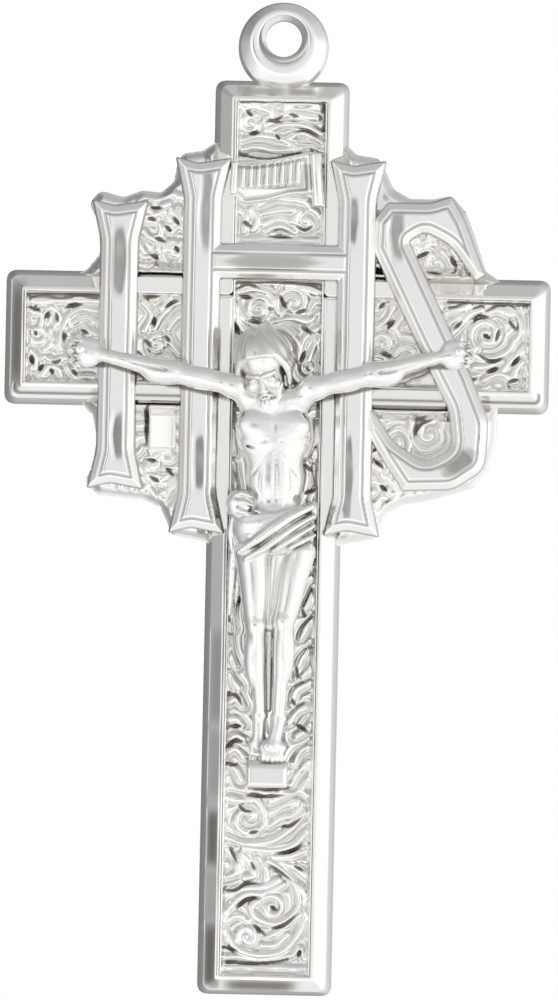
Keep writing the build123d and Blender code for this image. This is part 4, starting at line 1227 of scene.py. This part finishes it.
def make_cloth():
    wrap = ball((-0.08, -23.3, 2.42), (1.95, 1.55, 1.12))

    def wrapped(x, z, h):
        top = z - (-22.55 + 0.18 * x - 0.1 * np.cos(1.6 * x))
        hem = (-24.75 + 0.16 * x + 0.1 * np.cos(2.2 * x)) - z
        return np.maximum(wrap[0](x, z, h), np.maximum(top, hem)).astype(np.float32)

    carve((wrapped, wrap[1], wrap[2]), 0.06)
    folds = [
        (0.27, (1.8, -22.3, 3.0), (0.9, -22.75, 3.4), (0.0, -23.35, 3.5), (-0.8, -23.95, 3.42),
         (-1.6, -24.5, 2.95)),
        (0.19, (1.88, -22.75, 2.9), (1.05, -23.25, 3.38), (0.2, -23.85, 3.48), (-0.6, -24.45, 3.4),
         (-1.3, -24.85, 3.1)),
        (0.16, (1.92, -23.2, 2.85), (1.2, -23.65, 3.33), (0.5, -24.1, 3.42), (-0.1, -24.55, 3.35)),
        (0.14, (1.95, -23.65, 2.8), (1.35, -23.95, 3.25), (0.75, -24.3, 3.33)),
        (0.17, (0.1, -22.85, 3.42), (-0.7, -23.15, 3.36), (-1.4, -23.2, 3.05), (-1.9, -22.95, 2.5)),
        (0.14, (-0.5, -23.5, 3.42), (-1.15, -23.75, 3.2), (-1.8, -23.7, 2.75)),
        (0.13, (-0.9, -22.55, 3.2), (0.0, -22.78, 3.36), (0.9, -22.5, 3.26), (1.85, -22.12, 2.85)),
    ]
    for radius, *route in folds:
        rope(route, [radius * 0.55, radius, radius * 0.6], 0.07)
    carve(ball((-1.6, -22.25, 2.7), (0.7, 0.72, 0.52)), 0.1)
    gathers = [[(-2.2, -22.0, 2.75), (-1.6, -21.75, 3.12), (-1.0, -21.95, 3.1)],
               [(-2.25, -22.35, 2.75), (-1.6, -22.15, 3.18), (-0.9, -22.35, 3.15)],
               [(-2.2, -22.7, 2.75), (-1.6, -22.6, 3.12), (-1.0, -22.75, 3.2)]]
    for route in gathers:
        rope(route, [0.06, 0.11, 0.05], 0.05)
    for lower, upper in zip(gathers, gathers[1:]):
        crease = (np.array(lower) + np.array(upper)) / 2 + (0, 0, 0.08)
        rope(crease, [0.02, 0.045, 0.02], 0.04, "cut")
    rope([(-1.9, -22.9, 2.6), (-2.02, -23.7, 2.5), (-1.95, -24.5, 2.4)], [0.16, 0.17, 0.08], 0.06)
    rope([(-1.72, -23.6, 2.3), (-1.9, -25.4, 2.0), (-2.02, -27.5, 1.6)], [0.3, 0.27, 0.1], 0.08)
    rope([(-1.6, -24.4, 2.3), (-1.62, -25.8, 1.9), (-1.75, -27.0, 1.6)], [0.16, 0.18, 0.06], 0.06)
    rope([(-1.0, -24.85, 3.35), (-0.35, -24.6, 3.5), (0.1, -24.45, 3.45)], [0.05, 0.1, 0.04], 0.06, "cut")
    carve(ball((1.85, -22.5, 2.55), (0.24, 0.5, 0.36)), 0.08)


def hairline(across, up, front):
    """Below zero where hair covers the head."""
    return 0.85 * front - 0.52 * up - 0.22 + 0.3 * across ** 2


def make_head():
    carve(head_ball((0, 0.3, -0.1), (0.62, 0.68, 0.74)), 0.1)
    carve(head_ball((0, -0.2, 0.1), (0.5, 0.7, 0.6)), 0.12)
    carve(head_ball((0, -0.62, 0.22), (0.33, 0.3, 0.38)), 0.1)
    for side in (-1, 1):
        carve(head_limb((0.1 * side, 0.07, 0.66), (0.36 * side, 0.08, 0.53), 0.07, 0.06), 0.07)
        carve(head_ball((0.23 * side, -0.06, 0.72), (0.14, 0.075, 0.12)), 0.06, "cut")
        carve(head_ball((0.23 * side, -0.07, 0.575), (0.125, 0.085, 0.09)), 0.03)
        carve(head_limb((0.12 * side, -0.1, 0.66), (0.34 * side, -0.1, 0.58), 0.012, 0.012), 0.02, "cut")
        carve(head_ball((0.29 * side, -0.25, 0.53), (0.17, 0.14, 0.13)), 0.1)
        carve(head_ball((0.075 * side, -0.33, 0.75), (0.06, 0.05, 0.07)), 0.04)
    carve(head_limb((0, 0.04, 0.67), (0, -0.3, 0.8), 0.055, 0.075), 0.06)
    carve(head_limb((-0.15, -0.5, 0.73), (0.15, -0.5, 0.73), 0.02, 0.02), 0.03, "cut")
    carve(head_limb((-0.1, -0.455, 0.72), (0.1, -0.455, 0.72), 0.035, 0.035), 0.03)
    carve(head_limb((-0.09, -0.55, 0.71), (0.09, -0.55, 0.71), 0.045, 0.045), 0.03)
    carve(head_ball((0, -0.82, 0.46), (0.3, 0.3, 0.3)), 0.1)
    for k in range(-2, 3):
        carve(head_limb((0.11 * k, -0.66, 0.7 - 0.05 * abs(k)), (0.07 * k, -1.1, 0.52), 0.06, 0.03), 0.035)
    for side in (-1, 1):
        carve(head_limb((0.02 * side, -0.405, 0.79), (0.22 * side, -0.55, 0.62), 0.045, 0.03), 0.035)
        carve(head_limb((0.4 * side, -0.35, 0.4), (0.24 * side, -0.75, 0.5), 0.1, 0.08), 0.08)
    hair = head_ball((0, 0.3, -0.12), (0.76, 0.8, 0.84))

    def combed(x, z, h):
        offset = [x - HEAD_AT[0], z - HEAD_AT[1], h - HEAD_AT[2]]
        across, up, front = (sum(HEAD_AXES[k, i] * offset[k] for k in range(3)) / HEAD_SIZE for i in range(3))
        strands = 0.035 * np.sin(15 * np.arctan2(across, front + 0.3) + 4 * up)
        strands = strands * np.minimum(1, 2.5 * np.abs(across))
        bare = hairline(across, up, front) * HEAD_SIZE
        return np.maximum(hair[0](x, z, h) + strands, bare).astype(np.float32)

    carve((combed, hair[1], hair[2]), 0.04)
    carve(head_limb((0, 1.05, 0.1), (0, 0.66, 0.66), 0.02, 0.015), 0.05, "cut")
    for side, drop in ((-1, 0.95), (1, 0.75)):
        for k in range(4):
            start = (side * (0.44 + 0.06 * k), 0.5 - 0.06 * k, 0.4 - 0.2 * k)
            middle = (side * (0.66 + 0.03 * k), 0.0, 0.22 - 0.19 * k)
            stop = (side * (0.56 - 0.02 * k), -drop + 0.12 * k, 0.08 - 0.14 * k)
            rope([on_head(*start), on_head(*middle), on_head(*stop)],
                 [0.09 * HEAD_SIZE, 0.1 * HEAD_SIZE, 0.05 * HEAD_SIZE], 0.03)


make_torso()
make_arm(-1, *LEFT_ARM)
make_arm(1, *RIGHT_ARM)
make_leg((-0.98, -24.5, 2.4), (-0.74, -28.0, 2.6), (-0.45, -32.3, 2.05), -1, 3.1, 0.84)
make_leg((1.28, -24.5, 2.4), (0.56, -27.8, 2.75), (0.42, -32.4, 2.3), 1, 3.24, 0.74)
carve(limb((0.25, -24.3, 2.4), (-0.08, -28.0, 2.5), 0.5, 0.28), 0.12)     # the legs touch down to the ankles
carve(limb((-0.08, -28.0, 2.4), (-0.05, -32.0, 1.9), 0.2, 0.15), 0.08)
make_foot((-0.5, -32.4, 2.0), (-0.5, -33.7, 1.95), 0.34, -34.2)
make_foot((0.42, -32.6, 2.3), (0.16, -33.8, 2.42), 0.46, -34.4)
make_cloth()
make_head()

SHOULDER_X = 2.35                         # outside this the figure lies on the letters


def cut_backs(x, z, h):
    """The flat backs on which the figure lies: the panels between the posts, the letters outside them."""
    floor = np.where(np.abs(x) < SHOULDER_X, PANEL_H - 0.02, LETTER_H - 0.12)
    return (h - floor + 0 * z).astype(np.float32)


carve((cut_backs, BODY.low, [axis[-1] for axis in BODY.axes]), 0.02, "cut")
points, faces = surface(BODY)
points = relax(points, faces, 2)
# painted shade: the figure darkens in its folds and hollows
shade = hollow_shade(BODY, points, faces)
across, up, front = ((points - HEAD_AT) @ HEAD_AXES / HEAD_SIZE).T
haired = (np.abs(across) < 1) & (up > -0.9) & (up < 1.2) & (hairline(across, up, front) < -0.02)
shade[haired] = np.maximum(shade[haired], 0.4)      # the hair is drawn darker and duller than the face
as_piece("figure", points, faces.tolist(), "corpus", "corpus_silver", figure_silver, shade)

# --------------------------------------------------------------------------- footrest, nails and pins

foot_low, foot_high = box_mm("footrest")
FOOT_H = BACK - foot_low.y


def foot_height(x, z, inside):
    """Height of a small block with softened edges, its face falling back towards the feet, and darker there
    with painted shade.
    """
    edge = 0.16 * np.sqrt(smooth_step(inside, 0, 0.2))
    top = smooth_step(z, foot_high.z - 0.4, foot_high.z)
    # painted shade on the top of the block, under the feet
    return FOOT_H - 0.18 + edge - 0.12 * top + wobble(x, z, 2), 0.3 * top


block = rounded([(foot_low.x, foot_low.z, 0.1), (foot_high.x, foot_low.z, 0.14),
                 (foot_high.x, foot_high.z, 0.12), (foot_low.x, foot_high.z, 0.1)])
relief("foot_block", [block], foot_height, PANEL_H - 0.1, "footrest", "corpus_silver", figure_silver)


def turned_bar(x, z, stations, around=32):
    """Rings of a round bar that stands on the cross, from stations (radius, height)."""
    turn = np.linspace(0, 2 * pi, around, endpoint=False)
    circle = np.column_stack([np.cos(turn), np.sin(turn), np.zeros(around)])
    return [(x, z, height) + radius * circle for radius, height in stations]


NAIL_SIZE = 0.8                           # share of the CAD nail's radius, so that the head shows less
NAILS = {"nail_left": "nail_left_hand", "nail_right": "nail_right_hand", "nail_foot": "nail_feet"}
for name, node in NAILS.items():
    low, high = box_mm(node)
    x, z, radius = (low.x + high.x) / 2, (low.z + high.z) / 2, NAIL_SIZE * (high.x - low.x) / 2
    tip, top = BACK - high.y, BACK - low.y
    dome = [(radius * cos(a), top - 0.13 + 0.13 * sin(a)) for a in np.linspace(0, 1.45, 8)]
    shank, neck = 0.45 * radius, top - 0.16
    stations = [(0.05, tip), (shank, tip + 0.1), (shank, neck), (0.95 * radius, neck)]
    sweep(name, turned_bar(x, z, stations + dome), node, "fastener_silver", bright)


def pin_places(node):
    """Middles of the pins in a group, and their radius, from the CAD mesh."""
    corners = [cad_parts[node].matrix_world @ v.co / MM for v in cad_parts[node].data.vertices]
    groups = []
    for corner in corners:
        for group in groups:
            if hypot(corner.x - group[0].x, corner.z - group[0].z) < 0.75:
                group.append(corner)
                break
        else:
            groups.append([corner])
    places = []
    for group in groups:
        xs, zs = [c.x for c in group], [c.z for c in group]
        places.append(((min(xs) + max(xs)) / 2, (min(zs) + max(zs)) / 2, (max(xs) - min(xs)) / 2))
    return places


for node in ("monogram_pins", "titulus_pins"):
    top = BACK - box_mm(node)[0].y
    for k, (x, z, radius) in enumerate(pin_places(node)):
        stations = [(0.3 * radius, -0.04), (0.75 * radius, -0.03), (radius, 0.02), (radius, top)]
        sweep(f"{node}_{k + 1}", turned_bar(x, z, stations), node, "fastener_silver", bright)

# --------------------------------------------------------------------------- studio


def studio():
    """White surroundings, and a soft light tent that the silver reflects.

    The tent is brightest to the lower right, greyer above, and darker far round to the left and behind. It
    has one small dark gap at the front left.
    """
    world = bpy.data.worlds.new("studio")
    bpy.context.scene.world = world
    world.use_nodes = True
    nodes, links = world.node_tree.nodes, world.node_tree.links
    nodes.clear()
    out = nodes.new("ShaderNodeOutputWorld")
    seen = nodes.new("ShaderNodeBackground")
    seen.inputs["Color"].default_value = (1, 1, 1, 1)
    tent = nodes.new("ShaderNodeBackground")
    mix = nodes.new("ShaderNodeMixShader")
    ray = nodes.new("ShaderNodeLightPath")
    links.new(ray.outputs["Is Camera Ray"], mix.inputs["Fac"])
    links.new(tent.outputs["Background"], mix.inputs[1])
    links.new(seen.outputs["Background"], mix.inputs[2])
    links.new(mix.outputs["Shader"], out.inputs["Surface"])
    place = nodes.new("ShaderNodeTexCoord")
    split = nodes.new("ShaderNodeSeparateXYZ")
    links.new(place.outputs["Generated"], split.inputs["Vector"])

    def graded(socket, stops):
        """Ramp over a value from -1 to 1, from stops (value, brightness)."""
        shift = nodes.new("ShaderNodeMapRange")
        shift.inputs["From Min"].default_value = -1
        links.new(socket, shift.inputs["Value"])
        ramp = nodes.new("ShaderNodeValToRGB")
        ramp.color_ramp.interpolation = "EASE"
        elements = ramp.color_ramp.elements
        for element, (value, grey) in zip(elements, (stops[0], stops[-1])):
            element.position, element.color = (value + 1) / 2, (grey, grey, grey, 1)
        for value, grey in stops[1:-1]:
            elements.new((value + 1) / 2).color = (grey, grey, grey, 1)
        links.new(shift.outputs["Result"], ramp.inputs["Fac"])
        return ramp.outputs["Color"]

    def product(one, other):
        """The two colours multiplied."""
        multiply = nodes.new("ShaderNodeVectorMath")
        multiply.operation = "MULTIPLY"
        links.new(one, multiply.inputs[0])
        links.new(other, multiply.inputs[1])
        return multiply.outputs["Vector"]

    depth = graded(split.outputs["Y"], TENT_DEPTH)
    above = graded(split.outputs["Z"], TENT_ABOVE)
    lean = nodes.new("ShaderNodeVectorMath")
    lean.operation = "DOT_PRODUCT"
    lean.inputs[1].default_value = (0.8, -0.6, 0)
    links.new(place.outputs["Generated"], lean.inputs[0])
    left = graded(lean.outputs["Value"], TENT_LEFT)
    gap = nodes.new("ShaderNodeVectorMath")
    gap.operation = "DISTANCE"
    gap.inputs[1].default_value = (-0.26, -0.965, 0.02)
    links.new(place.outputs["Generated"], gap.inputs[0])
    light = product(product(depth, above), product(left, graded(gap.outputs["Value"], TENT_GAP)))
    links.new(light, tent.inputs["Color"])


# Brightness of the tent: from front (-1) to back (1), from below to above, from far left round to the right,
# and with the distance from the middle of its gap
TENT_DEPTH = [(-1, 0.85), (-0.95, 1.0), (-0.8, 1.12), (0.1, 1.1), (0.4, 1.0), (0.75, 0.85), (1, 0.45)]
TENT_ABOVE = [(-1, 0.85), (-0.6, 1.0), (0.08, 1.0), (0.4, 0.66), (0.8, 0.52), (1, 0.48)]
TENT_LEFT = [(-1, 0.34), (-0.75, 0.44), (-0.5, 0.72), (-0.25, 1.0), (1, 1.0)]
TENT_GAP = [(0, 0.19), (0.07, 0.19), (0.16, 1.0), (1, 1.0)]


def add_camera():
    """Long lens straight in front of the cross, rolled a little."""
    camera = bpy.data.objects.new("camera", bpy.data.cameras.new("camera"))
    bpy.context.scene.collection.objects.link(camera)
    bpy.context.scene.camera = camera
    camera.data.sensor_fit = "VERTICAL"
    camera.data.sensor_height = 36
    camera.data.lens = 200
    aim = Vector((0.227, 0, -22.03)) * MM
    view_height = 47.8 * MM               # height of the picture, measured at the cross
    distance = view_height * camera.data.lens / camera.data.sensor_height
    camera.location = aim + Vector((0, -distance, 0))
    turn = Matrix.Rotation(radians(-1.2), 4, "Y") @ Matrix.Rotation(pi / 2, 4, "X")
    camera.matrix_world = Matrix.Translation(camera.location) @ turn
    camera.data.clip_start = 0.01
    camera.data.clip_end = 10


studio()
add_camera()
FLOOR_RADIUS, FLOOR_DROP = 0.12, 0.012     # in metres; the drop is below the foot of the cross
floor_mesh = bpy.data.meshes.new("floor")
work = bmesh.new()
bmesh.ops.create_circle(work, cap_ends=True, segments=96, radius=FLOOR_RADIUS)
work.to_mesh(floor_mesh)
work.free()
floor = bpy.data.objects.new("floor", floor_mesh)
floor.location.z = cad_bounds[0][2] - FLOOR_DROP
bpy.context.scene.collection.objects.link(floor)
pale = bpy.data.materials.new("pale_floor")
pale.use_nodes = True
pale.node_tree.nodes["Principled BSDF"].inputs["Base Color"].default_value = (0.9, 0.9, 0.9, 1)
pale.node_tree.nodes["Principled BSDF"].inputs["Roughness"].default_value = 0.8
floor_mesh.materials.append(pale)
floor.visible_glossy = False              # the polished metal reflects the tent instead


def add_softbox(name, place, size, power):
    """Square area light that faces the middle of the cross."""
    light = bpy.data.lights.new(name, "AREA")
    light.size = size
    light.energy = power
    softbox = bpy.data.objects.new(name, light)
    softbox.location = place
    softbox.rotation_euler = (Vector(place) - Vector((0, 0, -0.02))).to_track_quat("Z", "Y").to_euler()
    bpy.context.scene.collection.objects.link(softbox)


add_softbox("softbox_right", (0.42, -0.38, -0.12), 0.3, 0.11)
add_softbox("softbox_front", (-0.12, -0.5, -0.3), 0.25, 0.05)
bpy.context.scene.view_settings.view_transform = "Standard"

for node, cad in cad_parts.items():
    if not cad.data.materials:
        cad.data.materials.append(bright)
    for i in range(len(cad.data.materials)):
        cad.data.materials[i] = bright
